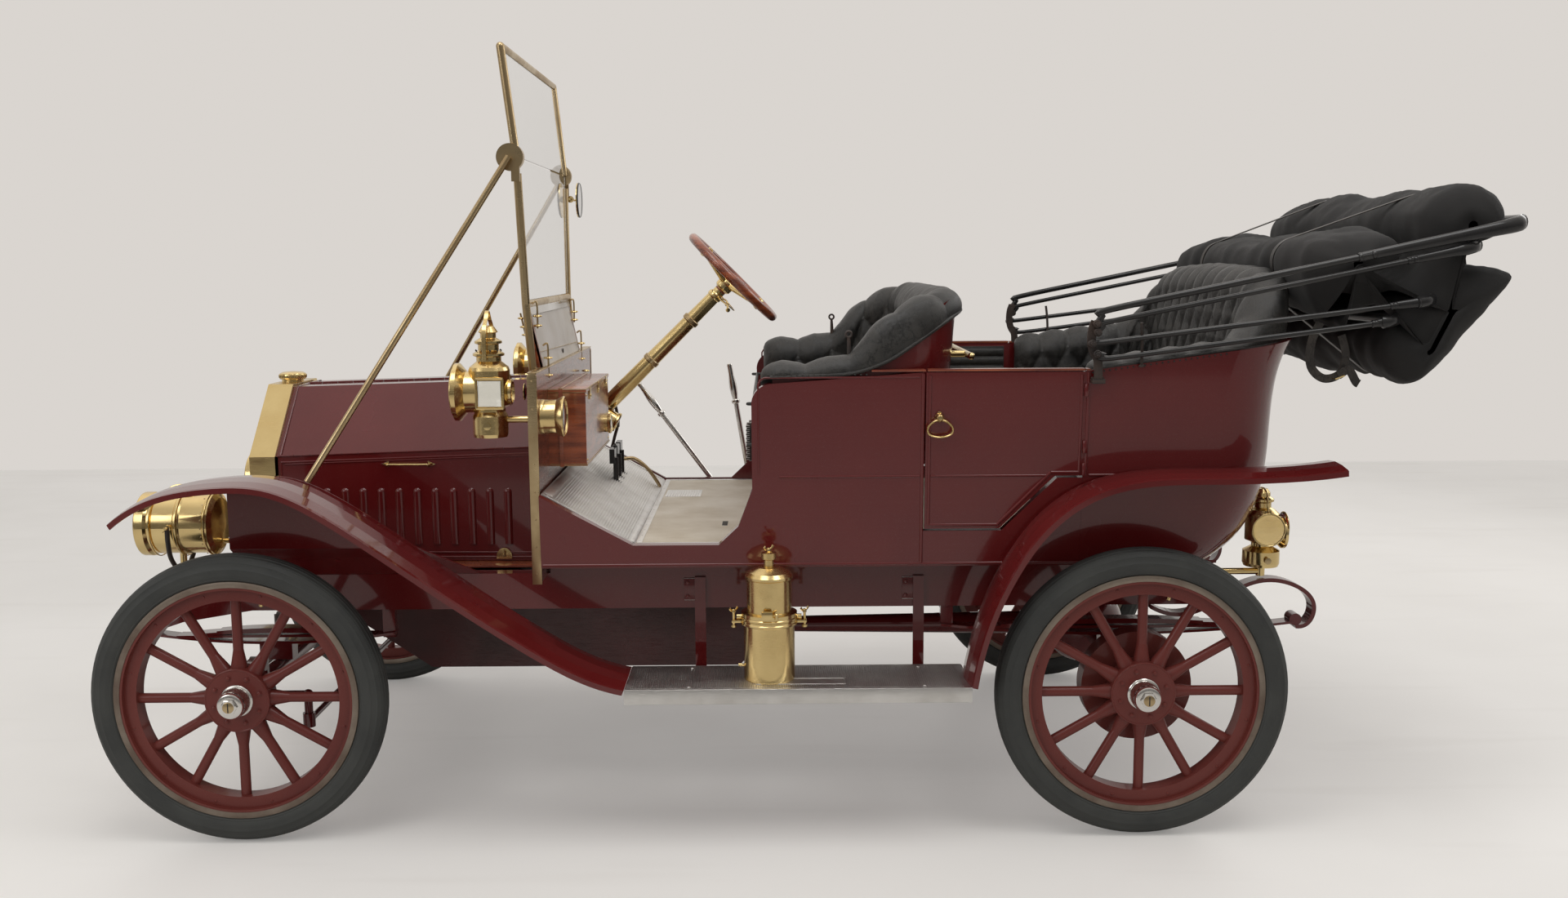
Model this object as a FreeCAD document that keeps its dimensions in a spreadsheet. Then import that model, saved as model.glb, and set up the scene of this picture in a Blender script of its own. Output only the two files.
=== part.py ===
import FreeCAD, Part
import math
import os
import Sketcher
from FreeCAD import Placement, Rotation, Vector

# An open touring car of about 1910 with a folded top, right-hand drive.
# Millimetres. The car faces -X, its left side is -Y, and the ground is Z = 0.
# The origin lies on the ground under the middle of the whole car.
# Lengths named station_... are measured backwards from the front axle.
# Heights named level_... are measured up from the ground.

LENGTHS = {
    # wheels and axles
    "station_origin": 1464.3,
    "wheelbase": 2337,
    "track": 1422,
    "tyre_radius": 381,
    "tyre_width": 89,
    "rim_radius": 301,
    "hook_radius": 312,
    "bead_half": 26,
    "rim_half": 36,
    "rim_base": 9,
    "felloe_depth": 31,
    "felloe_width": 46,
    "spoke_neck": 13,
    "spoke_root": 21,
    "spoke_foot_radius": 66,
    "spoke_flare_radius": 128,
    "flange_radius": 83,
    "flange_face": 30,
    "hub_radius": 46,
    "hub_inner": 52,
    "cap_radius": 35,
    "cap_length": 50,
    "stub_radius": 19,
    "bore_gap": 0.05,
    "seat_gap": 0.3,
    "stub_end": 14,
    "drum_radius": 145,
    "drum_width": 52,
    "drum_wall": 6,
    "housing_radius": 121,
    "torque_tube_radius": 37,
    # front axle and steering
    "kingpin_half": 612,
    "kingpin_radius": 11,
    "axle_radius": 23,
    "yoke_length": 58,
    "yoke_width": 50,
    "yoke_height": 128,
    "yoke_slot": 72,
    "knuckle_height": 71,
    "arm_reach": 140,
    "arm_drop": 74,
    "arm_radius": 11,
    "ball_radius": 16,
    "tie_radius": 10,
    "tie_bar_radius": 9,
    "tie_eye_gap": 22,
    "drag_arm_reach": 138,
    "drag_arm_rise": 82,
    "drop_arm_length": 152,
    "drop_arm_station": 408,
    "drop_arm_radius": 6.4,
    "drag_radius": 7,
    # frame
    "rail_half": 419,
    "rail_flange": 45,
    "rail_wall": 6,
    "level_rail_bottom": 544,
    "level_rail_top": 644,
    "station_rail_front": -60,
    "station_rail_rear": 2590,
    "horn_reach": 290,
    "horn_drop": 64,
    "horn_depth": 44,
    "cross_depth": 70,
    "cross_width": 46,
    # springs
    "leaf_width": 45,
    "spring_stack": 34,
    "leaf_thickness": 6.5,
    "leaf_bite": 0.5,
    "front_spring_half": 330,
    "level_front_spring": 422,
    "rear_spring_half": 490,
    "level_rear_spring": 432,
    "rear_spring_rise": 54,
    "scroll_stack": 26,
    "scroll_clamp": 160,
    "scroll_reach": 295,
    "scroll_height": 134,
    # engine, drive and radiator
    "radiator_front": -100,
    "radiator_back": -28,
    "level_radiator_bottom": 560,
    "radiator_lip": 8,
    "core_border": 34,
    "core_recess": 14,
    "level_bonnet_top": 1135,
    "bonnet_rise": 21,
    "bonnet_flat_half": 104,
    "bonnet_shoulder_half": 286,
    "bonnet_spread": 24,
    "level_shoulder": 952,
    "shoulder_rise": 26,
    "level_bonnet_bottom": 652,
    "bonnet_sheet": 3,
    "bonnet_gap": 6,
    "louvre_front": 115,
    "louvre_pitch": 51.6,
    "louvre_radius": 14,
    "louvre_sink": 6.5,
    "louvre_height": 150,
    "level_louvre_bottom": 700,
    "pan_half": 230,
    "pan_front": 150,
    "pan_rear": 1352,
    "level_pan_bottom": 318,
    "cap_neck_radius": 30,
    "level_cap_top": 1170,
    # dash and windscreen
    "dash_station": 740,
    "dash_thickness": 22,
    "dash_half": 560,
    "level_dash_bottom": 644.3,
    "level_dash_top": 1205,
    "strip_width": 30,
    "level_coil_box": 935,
    "coil_box_left": 374,
    "coil_box_width": 534,
    "coil_box_depth": 104,
    "coil_box_height": 210,
    "level_speedometer": 1085,
    "speedometer_half": 500,
    "speedometer_radius": 46,
    "speedometer_length": 60,
    "screen_tube": 11,
    "level_screen_low": 1382,
    "level_screen_pivot": 1772,
    "level_screen_top": 2058,
    "screen_half_low": 396,
    "screen_half_pivot": 437,
    "screen_half_top": 450,
    "station_screen_low": 713,
    "station_screen_pivot": 706,
    "screen_set": 14,
    "station_screen_top": 675,
    "screen_disc_radius": 36,
    "screen_disc_width": 9,
    "screen_pin_radius": 7.7,
    "pane_thickness": 6,
    "stay_radius": 9,
    "stay_station": 160,
    "stay_half": 592,
    "level_stay_foot": 927,
    "level_mirror": 1698,
    "mirror_half": 530,
    "mirror_radius": 57,
    "mirror_thickness": 6,
    "mirror_arm_radius": 4,
    "mirror_tip_radius": 3,
    "mirror_arm_back": 2,
    # steering column
    "column_half": 262,
    "gearbox_radius": 48,
    "column_radius": 19,
    "station_column_foot": 408,
    "level_column_foot": 600,
    "station_column_top": 1238,
    "level_column_top": 1422,
    "wheel_radius": 190,
    "wheel_rim": 14,
    "wheel_dish": 30,
    # body
    "panel": 24,
    "body_front": 767,
    "body_half_low": 590,
    "body_half_high": 625,
    "level_body_bottom": 690,
    "level_floor": 745,
    "floor_thickness": 20,
    "level_body_top": 1209,
    "level_toe_top": 886,
    "station_toe_foot": 1011,
    "level_cutout": 751,
    "cutout_rear": 1238,
    "cutout_radius": 150,
    "station_seat_front": 1328,
    "level_seat_arm_front": 1120,
    "seat_arm_radius": 55,
    "station_door_front": 1782,
    "station_door_hinge": 2195,
    "level_door_bottom": 792,
    "station_door_knee": 1980,
    "station_door_crook": 2123,
    "level_door_shoulder": 934,
    "door_gap": 6,
    "seat_back_station": 1850,
    "seat_back_half": 470,
    "seat_back_corner": 190,
    "level_seat_back": 1402,
    "seat_rake": 34,
    "shell_wall": 20,
    "tub_rear_low": 2585,
    "tub_rear_mid": 2725,
    "tub_rear_high": 2775,
    "level_tub_mid": 960,
    "level_tub_high": 1285,
    "tub_corner": 170,
    "station_sill_rear": 2388,
    # seats
    "cushion_gap": 0.3,
    "pad": 74,
    "pad_ease": 4,
    "level_front_cushion": 1125,
    "cushion_thickness": 130,
    "level_rear_cushion": 1110,
    "rear_cushion_depth": 400,
    "level_rear_pad_front": 1262,
    "level_rear_pad_top": 1478,
    "station_robe_rail": 1918,
    "level_robe_rail": 1239,
    "robe_stand_length": 46.92,
    "robe_stand_half": 376,
    # fenders and boards
    "fender_inner": 575,
    "rear_fender_inner": 612,
    "fender_outer": 790,
    "fender_sheet": 4,
    "fender_bead": 7,
    "fender_crown": 12,
    "front_fender_clear": 178,
    "rear_fender_clear": 190,
    "apron_lip": 12,
    "apron_sheet": 4,
    "level_apron_kink": 745,
    "board_front": 1000,
    "board_rear": 1888,
    "board_gap": 0.95,
    "board_thickness": 36,
    "level_board": 415,
    "board_post_front": 165,
    "board_post_rear": 120,
    "iron": 12,
    "lever_half": 640,
    "quadrant_station": 1228,
    "pedal_spread": 88,
    "pedal_arm_radius": 8,
    "pedal_pad_half": 30,
    "pedal_pad_height": 45,
    "pedal_pad_thickness": 16,
    "crank_reach": 150,
    "crank_throw": 150,
    "crank_inset": 14.4,
    "crank_grip_start": 120,
    "crank_grip_length": 120,
    # lamps
    "headlamp_half": 410,
    "headlamp_radius": 88,
    "headlamp_front": -345,
    "headlamp_post_reach": 193,
    "headlamp_post_rise": 91.9,
    "headlamp_length": 205,
    "level_headlamp": 785,
    "sidelamp_half": 470,
    "sidelamp_station": 622,
    "sidelamp_height": 300,
    "sidelamp_drop": 121,
    "sidelamp_bezel": 78,
    "sidelamp_reach": 92,
    "sidelamp_back": 34,
    "sidelamp_back_reach": 62,
    "sidelamp_arm_drop": 75,
    "level_sidelamp": 1150,
    "sidelamp_radius": 55,
    "tail_station": 2738,
    "tail_half": 420,
    "level_tail": 741,
    "tail_radius": 54,
    "tail_height": 216,
    "tail_drop": 92,
    "tail_lens": 44,
    "tail_reach": 62,
    "tail_arm_drop": 12,
    "tail_post_radius": 12,
    "tail_post_length": 36,
    "generator_half": 690,
    "generator_station": 1371,
    "generator_radius": 66,
    "generator_pin": 7,
    "generator_pin_reach": 84,
    "generator_pin_rise": 166,
    "generator_height": 310,
    # folded top
    "bow_half": 654,
    "bow_depth": 26,
    "bow_width": 16,
    "bow_hub_radius": 52,
    "bow_post_length": 104,
    "station_bow_pivot": 2203,
    "level_bow_pivot": 1288,
    "bow_reach": 1104,
}

ANGLES_AND_COUNTS = {
    "spoke_count": 12,
    "full_turn": 360,
}

doc = FreeCAD.newDocument("touring_car")
sheet = doc.addObject("Spreadsheet::Sheet", "dims")


class Size:
    """A number together with the sheet expression that it comes from."""

    def __init__(self, value, text):
        self.value = float(value)
        self.text = text

    def __float__(self):
        return self.value

    def __neg__(self):
        return Size(-self.value, f"(-1 * {self.text})")

    def __add__(self, other):
        return Size(self.value + float(other), f"({self.text} + {words(other)})")

    def __sub__(self, other):
        return Size(self.value - float(other), f"({self.text} - {words(other)})")

    def __mul__(self, other):
        return Size(self.value * float(other), f"({self.text} * {words(other)})")

    def __truediv__(self, other):
        return Size(self.value / float(other), f"({self.text} / {words(other)})")

    __radd__ = __add__
    __rmul__ = __mul__


def words(number):
    return number.text if isinstance(number, Size) else f"({float(number)!r})"


class Sizes:
    """Every driving dimension by its name."""


def fill_sheet():
    sizes = Sizes()
    for row, (alias, value) in enumerate({**LENGTHS, **ANGLES_AND_COUNTS}.items(), 1):
        sheet.set(f"A{row}", alias)
        sheet.set(f"B{row}", str(value))
        sheet.setAlias(f"B{row}", alias)
        setattr(sizes, alias, Size(value, f"dims.{alias}"))
    doc.recompute()
    return sizes


d = fill_sheet()
ZERO = Size(0, "0")
LEFT, RIGHT = -1, 1
SIDES = ((LEFT, "left"), (RIGHT, "right"))
NODES = {}


def at(station):
    """X of a place measured back from the front axle."""
    return station - d.station_origin


def vector(x, y, z):
    return Vector(float(x), float(y), float(z))


def keep(name, item):
    """Make an object the exported sub-part called name."""
    item.Label = name
    NODES[name] = item
    return item


def feature(name, shape):
    item = doc.addObject("Part::Feature", name)
    item.Shape = shape
    return item


def bind(item, **expressions):
    for prop, size in expressions.items():
        item.setExpression(prop.replace("__", "."), words(size))


def place(item, x, y, z, rotation=None):
    item.Placement = Placement(vector(x, y, z), rotation or Rotation())
    bind(item, Placement__Base__x=x, Placement__Base__y=y, Placement__Base__z=z)
    return item


def block(name, x, y, z, length, width, height):
    """A box from its low corner."""
    item = doc.addObject("Part::Box", name)
    bind(item, Length=length, Width=width, Height=height)
    return place(item, x, y, z)


def rod(name, radius, length, x, y, z, direction):
    """A round bar that starts at x, y, z and runs along direction."""
    item = doc.addObject("Part::Cylinder", name)
    bind(item, Radius=radius, Height=length)
    return place(item, x, y, z, Rotation(Vector(0, 0, 1), Vector(*direction)))


def cone(name, first, second, length, x, y, z, direction):
    item = doc.addObject("Part::Cone", name)
    bind(item, Radius1=first, Radius2=second, Height=length)
    return place(item, x, y, z, Rotation(Vector(0, 0, 1), Vector(*direction)))


def ball(name, radius, x, y, z):
    item = doc.addObject("Part::Sphere", name)
    bind(item, Radius=radius)
    return place(item, x, y, z)


def fuse(name, parts):
    item = doc.addObject("Part::MultiFuse", name)
    item.Shapes = parts
    return item


def cut(name, base, tool):
    item = doc.addObject("Part::Cut", name)
    item.Base, item.Tool = base, tool
    return item


def common(name, parts):
    item = doc.addObject("Part::MultiCommon", name)
    item.Shapes = parts
    return item


def group(name, parts):
    item = doc.addObject("Part::Compound", name)
    item.Links = parts
    return item


def mirrored(name, source):
    """The same piece on the other side of the car."""
    item = doc.addObject("Part::Mirroring", name)
    item.Source = source
    item.Normal = Vector(0, 1, 0)
    return item


def origin_feature(body, role):
    return next(item for item in body.Origin.OriginFeatures if item.Role == role)


def arc_centre(first, second, radius, side):
    """Centre of the arc from first to second that bends to one side of its chord."""
    middle = (first + second) / 2
    chord = second - first
    across = Vector(-chord.y, chord.x, 0).normalize()
    height = math.sqrt(max(radius ** 2 - (chord.Length / 2) ** 2, 0))
    return middle + across * height * side


def draw_outline(sketch, corners):
    """Close an outline whose corners are pairs of sizes.

    A corner with a radius and a side starts an arc to the next corner.
    """
    count = len(corners)
    for index, corner in enumerate(corners):
        first = vector(corner[0], corner[1], 0)
        following = corners[(index + 1) % count]
        second = vector(following[0], following[1], 0)
        if len(corner) > 2:
            radius, side = corner[2], corner[3]
            centre = arc_centre(first, second, float(radius), side)
            turns = [math.atan2(p.y - centre.y, p.x - centre.x) for p in (first, second)]
            ends = turns if side > 0 else turns[::-1]
            circle = Part.Circle(centre, Vector(0, 0, 1), float(radius))
            sketch.addGeometry(Part.ArcOfCircle(circle, ends[0], ends[1]), False)
        else:
            sketch.addGeometry(Part.LineSegment(first, second), False)
    starts, ends = [], []
    for corner in corners:
        backwards = len(corner) > 2 and corner[3] < 0
        starts.append(2 if backwards else 1)
        ends.append(1 if backwards else 2)
    for index in range(count):
        after = (index + 1) % count
        sketch.addConstraint(Sketcher.Constraint("Coincident", index, ends[index], after, starts[after]))
    for index, corner in enumerate(corners):
        for kind, size in (("DistanceX", corner[0]), ("DistanceY", corner[1])):
            place_in = Sketcher.Constraint(kind, -1, 1, index, starts[index], float(size))
            number = sketch.addConstraint(place_in)
            sketch.setExpression(f"Constraints[{number}]", words(size))
        if len(corner) > 2:
            number = sketch.addConstraint(Sketcher.Constraint("Radius", index, float(corner[2])))
            sketch.setExpression(f"Constraints[{number}]", words(corner[2]))


def outline_on(body, role, corners, offset=None):
    sketch = body.newObject("Sketcher::SketchObject", body.Name + "_outline")
    sketch.AttachmentSupport = (origin_feature(body, role), [""])
    sketch.MapMode = "FlatFace"
    if offset is not None:
        bind(sketch, AttachmentOffset__Base__z=offset)
    draw_outline(sketch, corners)
    return sketch


def profile_bar(name, corners, low, high):
    """A side outline in X and Z that runs across the car from low to high in Y."""
    body = doc.addObject("PartDesign::Body", name)
    sketch = outline_on(body, "XZ_Plane", corners, offset=-low)
    pad = body.newObject("PartDesign::Pad", name + "_pad")
    pad.Profile = sketch
    pad.Reversed = True
    bind(pad, Length=high - low)
    return body


def plan_plate(name, corners, low, high):
    """A plan outline in X and Y that stands from low to high."""
    body = doc.addObject("PartDesign::Body", name)
    sketch = outline_on(body, "XY_Plane", corners, offset=low)
    pad = body.newObject("PartDesign::Pad", name + "_pad")
    pad.Profile = sketch
    bind(pad, Length=high - low)
    return body


def turned(body, name, role, axis, corners):
    """A revolved feature of a body about one axis of its sketch."""
    sketch = outline_on(body, role, corners)
    spin = body.newObject("PartDesign::Revolution", name)
    spin.Profile = sketch
    spin.ReferenceAxis = (sketch, [axis])
    spin.Angle = float(d.full_turn)
    return spin


def turned_body(name, role, axis, corners):
    body = doc.addObject("PartDesign::Body", name)
    turned(body, name + "_turned", role, axis, corners)
    return body


def spline(points):
    curve = Part.BSplineCurve()
    curve.interpolate(points)
    return curve


def tube(points, radius):
    """A round bar through points, mitred round at each corner."""
    pieces = []
    for first, second in zip(points, points[1:]):
        pieces.append(Part.makeCylinder(radius, (second - first).Length, first, second - first))
    for corner in points[1:-1]:
        pieces.append(Part.makeSphere(radius, corner))
    return pieces[0].multiFuse(pieces[1:]).removeSplitter() if len(pieces) > 1 else pieces[0]


def strip_sweep(path_points, section_points):
    """A closed section carried along a smooth side path, always square to the car's side."""
    path = Part.Wire([spline(path_points).toShape()])
    maker = Part.BRepOffsetAPI.MakePipeShell(path)
    maker.setBiNormalMode(Vector(0, 1, 0))
    maker.add(Part.makePolygon(section_points + section_points[:1]))
    maker.build()
    maker.makeSolid()
    return maker.shape()


def plan_loop(front, rear, half, corner, level):
    """A plan loop, square in front and round at its two rear corners."""
    front, rear, half, corner, level = (float(n) for n in (front, rear, half, corner, level))
    quarter = corner * (1 - math.sqrt(0.5))
    near = [Vector(front, -half, level), Vector(rear - corner, -half, level),
            Vector(rear - quarter, -half + quarter, level), Vector(rear, -half + corner, level)]
    far = [Vector(p.x, -p.y, level) for p in near]
    return Part.Wire([
        Part.makeLine(near[0], near[1]),
        Part.Arc(near[1], near[2], near[3]).toShape(),
        Part.makeLine(near[3], far[3]),
        Part.Arc(far[3], far[2], far[1]).toShape(),
        Part.makeLine(far[1], far[0]),
        Part.makeLine(far[0], near[0]),
    ])


def prism(points, direction):
    """A closed outline of points carried along a direction."""
    return Part.Face(Part.makePolygon(points + points[:1])).extrude(direction)


def side_prism(pairs, low, high):
    """A side outline of X and Z pairs between two Y places."""
    points = [vector(x, low, z) for x, z in pairs]
    return prism(points, vector(0, high - low, 0))


def half_at(level):
    """Half width of the body's flared side at a level."""
    rise = (level - d.level_body_bottom) / (d.level_body_top - d.level_body_bottom)
    return d.body_half_low + (d.body_half_high - d.body_half_low) * rise


def make_tyre(name):
    arc = d.tyre_width / 2
    return turned_body(name, "XY_Plane", "V_Axis", (
        (d.rim_radius, -d.bead_half),
        (d.hook_radius, -d.bead_half),
        (d.hook_radius, -d.rim_half, arc, 1),
        (d.tyre_radius, ZERO, arc, 1),
        (d.hook_radius, d.rim_half),
        (d.hook_radius, d.bead_half),
        (d.rim_radius, d.bead_half),
    ))


def make_wheel(name, drum):
    """Hub, spokes and rim of one wheel about the Y axis, with its cap towards +Y."""
    body = doc.addObject("PartDesign::Body", name)
    felloe = d.rim_radius - d.rim_base - d.felloe_depth
    bore = d.stub_radius + d.bore_gap
    face = d.flange_face
    turned(body, name + "_hub", "XY_Plane", "V_Axis", (
        (bore, -d.hub_inner),
        (d.hub_radius, -d.hub_inner),
        (d.hub_radius, -d.flange_face),
        (d.flange_radius, -d.flange_face),
        (d.flange_radius, face),
        (d.cap_radius, face),
        (d.cap_radius, d.flange_face + d.cap_length),
        (ZERO, d.flange_face + d.cap_length),
        (ZERO, d.flange_face + d.stub_end * 2),
        (bore, d.flange_face + d.stub_end * 2),
    ))
    spoke = turned(body, name + "_spoke", "XZ_Plane", "H_Axis", (
        (d.spoke_foot_radius, ZERO),
        (d.spoke_foot_radius, d.spoke_root),
        (d.flange_radius, d.spoke_root),
        (d.spoke_flare_radius, d.spoke_neck),
        (felloe + d.rim_base, d.spoke_neck),
        (felloe + d.rim_base, ZERO),
    ))
    pattern = body.newObject("PartDesign::PolarPattern", name + "_spokes")
    pattern.Originals = [spoke]
    pattern.Axis = (origin_feature(body, "Y_Axis"), [""])
    pattern.Angle = float(d.full_turn)
    bind(pattern, Occurrences=d.spoke_count)
    body.Tip = pattern
    turned(body, name + "_rim", "XY_Plane", "V_Axis", (
        (felloe, d.felloe_width / -2),
        (felloe, d.felloe_width / 2),
        (d.rim_radius - d.rim_base, d.felloe_width / 2),
        (d.rim_radius - d.rim_base, d.rim_half),
        (d.hook_radius, d.rim_half),
        (d.hook_radius, d.bead_half),
        (d.rim_radius, d.bead_half),
        (d.rim_radius, -d.bead_half),
        (d.hook_radius, -d.bead_half),
        (d.hook_radius, -d.rim_half),
        (d.rim_radius - d.rim_base, -d.rim_half),
        (d.rim_radius - d.rim_base, d.felloe_width / -2),
    ))
    if drum:
        inner = -d.hub_inner - d.drum_width
        turned(body, name + "_drum", "XY_Plane", "V_Axis", (
            (bore, inner + d.drum_wall),
            (d.drum_radius - d.drum_wall, inner + d.drum_wall),
            (d.drum_radius - d.drum_wall, inner),
            (d.drum_radius, inner),
            (d.drum_radius, -d.hub_inner + d.drum_wall),
            (bore, -d.hub_inner + d.drum_wall),
        ))
    return body


def make_wheels():
    for axle, station in (("front", ZERO), ("rear", d.wheelbase)):
        for side, word in SIDES:
            y = d.track / 2 * side
            tyre = keep(f"tyre_{axle}_{word}", make_tyre(f"tyre_{axle}_{word}"))
            place(tyre, at(station), y, d.tyre_radius)
            wheel = make_wheel(f"wheel_{axle}_{word}", axle == "rear")
            facing = Rotation(Vector(0, 0, 1), 0 if side > 0 else float(d.full_turn / 2))
            place(wheel, at(station), y, d.tyre_radius, facing)
            keep(f"wheel_{axle}_{word}", wheel)


def make_front_axle():
    z = d.tyre_radius
    inner = d.kingpin_half - d.yoke_length / 2
    parts = [rod("axle_beam", d.axle_radius, inner * 2, at(ZERO), -inner, z, (0, 1, 0))]
    for side, word in SIDES:
        low = inner if side > 0 else -inner - d.yoke_length
        yoke = block(f"yoke_{word}", at(-d.yoke_width / 2), low, z - d.yoke_height / 2,
                     d.yoke_width, d.yoke_length, d.yoke_height)
        slot = block(f"yoke_slot_{word}", at(-d.yoke_width), low + d.bore_gap if side > 0 else low,
                     z - d.yoke_slot / 2, d.yoke_width * 2, d.yoke_length, d.yoke_slot)
        web = block(f"yoke_web_{word}", at(-d.yoke_width / 2),
                    inner - d.yoke_length / 4 if side > 0 else -inner - d.bore_gap,
                    z - d.yoke_height / 2, d.yoke_width, d.yoke_length / 4 + d.bore_gap, d.yoke_height)
        bore = rod(f"yoke_bore_{word}", d.kingpin_radius + d.bore_gap, d.yoke_height * 2,
                   at(ZERO), d.kingpin_half * side, z - d.yoke_height, (0, 0, 1))
        hollow = fuse(f"yoke_hollow_{word}", [slot, bore])
        parts.append(fuse(f"yoke_end_{word}", [cut(f"yoke_open_{word}", yoke, hollow), web]))
    keep("front_axle", fuse("front_axle", parts))


def make_knuckle(side, word):
    z = d.tyre_radius
    half = d.knuckle_height / 2
    pin_y = d.kingpin_half * side
    wide = d.yoke_length / 2
    parts = [
        rod(f"kingpin_{word}", d.kingpin_radius, d.yoke_height, at(ZERO), pin_y, z - d.yoke_height / 2,
            (0, 0, 1)),
        rod(f"knuckle_barrel_{word}", wide - d.kingpin_radius / 2, d.knuckle_height, at(ZERO), pin_y,
            z - half, (0, 0, 1)),
        rod(f"stub_{word}", d.stub_radius, d.track / 2 + d.flange_face + d.stub_end - d.kingpin_half,
            at(ZERO), pin_y, z, (0, side, 0)),
        rod(f"steering_arm_bar_{word}", d.arm_radius, d.arm_reach, at(ZERO), pin_y,
            z - half + d.arm_radius, (1, 0, 0)),
        rod(f"steering_arm_post_{word}", d.arm_radius, d.arm_drop - half + d.arm_radius, at(d.arm_reach),
            pin_y, z - d.arm_drop, (0, 0, 1)),
        ball(f"steering_arm_heel_{word}", d.arm_radius + d.bonnet_sheet, at(d.arm_reach), pin_y,
             z - half + d.arm_radius),
    ]
    if side > 0:
        reach = pin_y - d.drag_arm_reach
        parts += [
            rod("drag_arm_bar", d.arm_radius, d.drag_arm_reach, at(ZERO), reach, z + d.drag_arm_rise,
                (0, 1, 0)),
            rod("drag_arm_post", d.arm_radius, d.drag_arm_rise, at(ZERO), pin_y, z, (0, 0, 1)),
            ball("drag_arm_heel", d.arm_radius + d.bonnet_sheet, at(ZERO), pin_y, z + d.drag_arm_rise),
            ball("drag_arm_ball", d.ball_radius, at(ZERO), reach, z + d.drag_arm_rise),
        ]
    keep(f"knuckle_{word}", fuse(f"knuckle_{word}", parts))


def make_tie_rod():
    z = d.tyre_radius - d.arm_drop - d.tie_eye_gap
    half = d.kingpin_half
    parts = [rod("tie_bar", d.tie_bar_radius, half * 2, at(d.arm_reach), -half, z, (0, 1, 0))]
    for side, word in SIDES:
        parts.append(rod(f"tie_eye_{word}", d.ball_radius, d.tie_eye_gap + d.ball_radius - d.bore_gap * 4,
                         at(d.arm_reach), half * side, z - d.ball_radius, (0, 0, 1)))
    keep("tie_rod", fuse("tie_rod", parts))


def make_drag_linkage():
    x = d.drop_arm_station
    inner = d.rail_half + d.rail_flange / 2 + d.bonnet_gap
    thick = d.ball_radius
    low = d.tyre_radius + d.drag_arm_rise
    arm = [
        rod("drop_arm_bar", d.drop_arm_radius, d.drop_arm_length, at(x), inner + thick / 2, low, (0, 0, 1)),
        rod("drop_arm_boss", d.ball_radius + d.tie_radius, thick, at(x), inner, low + d.drop_arm_length,
            (0, 1, 0)),
        rod("drop_arm_foot", d.ball_radius, thick, at(x), inner, low, (0, 1, 0)),
        rod("drop_arm_pin", d.tie_radius, thick * 2, at(x), inner, low, (0, 1, 0)),
    ]
    keep("drop_arm", fuse("drop_arm", arm))
    eye = inner + thick + d.bonnet_sheet
    width = thick - d.bonnet_sheet
    front = d.ball_radius + d.bonnet_gap
    link = cut("drag_link_eye", rod("drag_link_ring", d.ball_radius, width, at(x), eye, low, (0, 1, 0)),
               rod("drag_link_bore", d.tie_radius + d.bore_gap, thick * 2, at(x), eye - width / 2, low,
                   (0, 1, 0)))
    bar = rod("drag_link_bar", width / 2, x - front - d.ball_radius + d.drag_radius / 4, at(front),
              eye + width / 2, low, (1, 0, 0))
    keep("drag_link", fuse("drag_link", [link, bar]))


def make_frame():
    rear = d.station_rail_rear
    front = d.station_rail_front
    tip = front - d.horn_reach
    low_tip = d.level_rail_bottom - d.horn_drop
    corners = (
        (at(front), d.level_rail_bottom),
        (at(rear), d.level_rail_bottom),
        (at(rear), d.level_rail_top),
        (at(front), d.level_rail_top),
        (at(tip + d.horn_reach / 3), low_tip + d.horn_depth * 2),
        (at(tip), low_tip + d.horn_depth),
        (at(tip), low_tip),
        (at(tip + d.horn_reach / 3), low_tip + d.horn_drop / 2),
    )
    hollow = (
        (at(front), d.level_rail_bottom + d.rail_wall),
        (at(rear + d.rail_flange), d.level_rail_bottom + d.rail_wall),
        (at(rear + d.rail_flange), d.level_rail_top - d.rail_wall),
        (at(front), d.level_rail_top - d.rail_wall),
    )
    outer = d.rail_half + d.rail_flange / 2
    inner = outer - d.rail_flange
    solid = profile_bar("rail_solid", corners, -outer, -inner)
    channel = profile_bar("rail_channel", hollow, -outer + d.rail_wall, -inner + d.rail_wall)
    rail = cut("rail_left", solid, channel)
    parts = [rail, mirrored("rail_right", rail)]
    crosses = (("front", d.radiator_back + d.seat_gap), ("middle", d.pan_rear + d.cross_width),
               ("rear", rear - d.cross_width))
    for word, station in crosses:
        parts.append(block(f"cross_{word}", at(station), -outer + d.rail_wall,
                           d.level_rail_top - d.rail_wall - d.cross_depth,
                           d.cross_width, outer * 2 - d.rail_wall * 2, d.cross_depth))
    shaft = rod("steering_shaft_hole", d.tie_radius + d.bonnet_gap / 2, d.rail_flange * 2,
                at(d.drop_arm_station), inner, d.tyre_radius + d.drag_arm_rise + d.drop_arm_length,
                (0, 1, 0))
    keep("frame", cut("frame", fuse("frame_solid", parts), shaft))


LEAF_COUNT = 5
LEAF_STEP_SHARE = 0.17


def leaf(name, first, middle, last, thickness):
    """A bent leaf pack along an arc in the side view, standing up by thickness."""
    points = [vector(at(x), d.leaf_width / -2, z) for x, z in (first, middle, last)]
    rise = vector(0, 0, thickness)
    low = Part.Arc(*points).toShape()
    high = Part.Arc(*[p + rise for p in points]).toShape()
    ends = [Part.makeLine(points[0], points[0] + rise), Part.makeLine(points[2], points[2] + rise)]
    face = Part.Face(Part.Wire(Part.__sortEdges__([low, ends[1], high, ends[0]])))
    return feature(name, face.extrude(vector(0, d.leaf_width, 0)))


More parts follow.
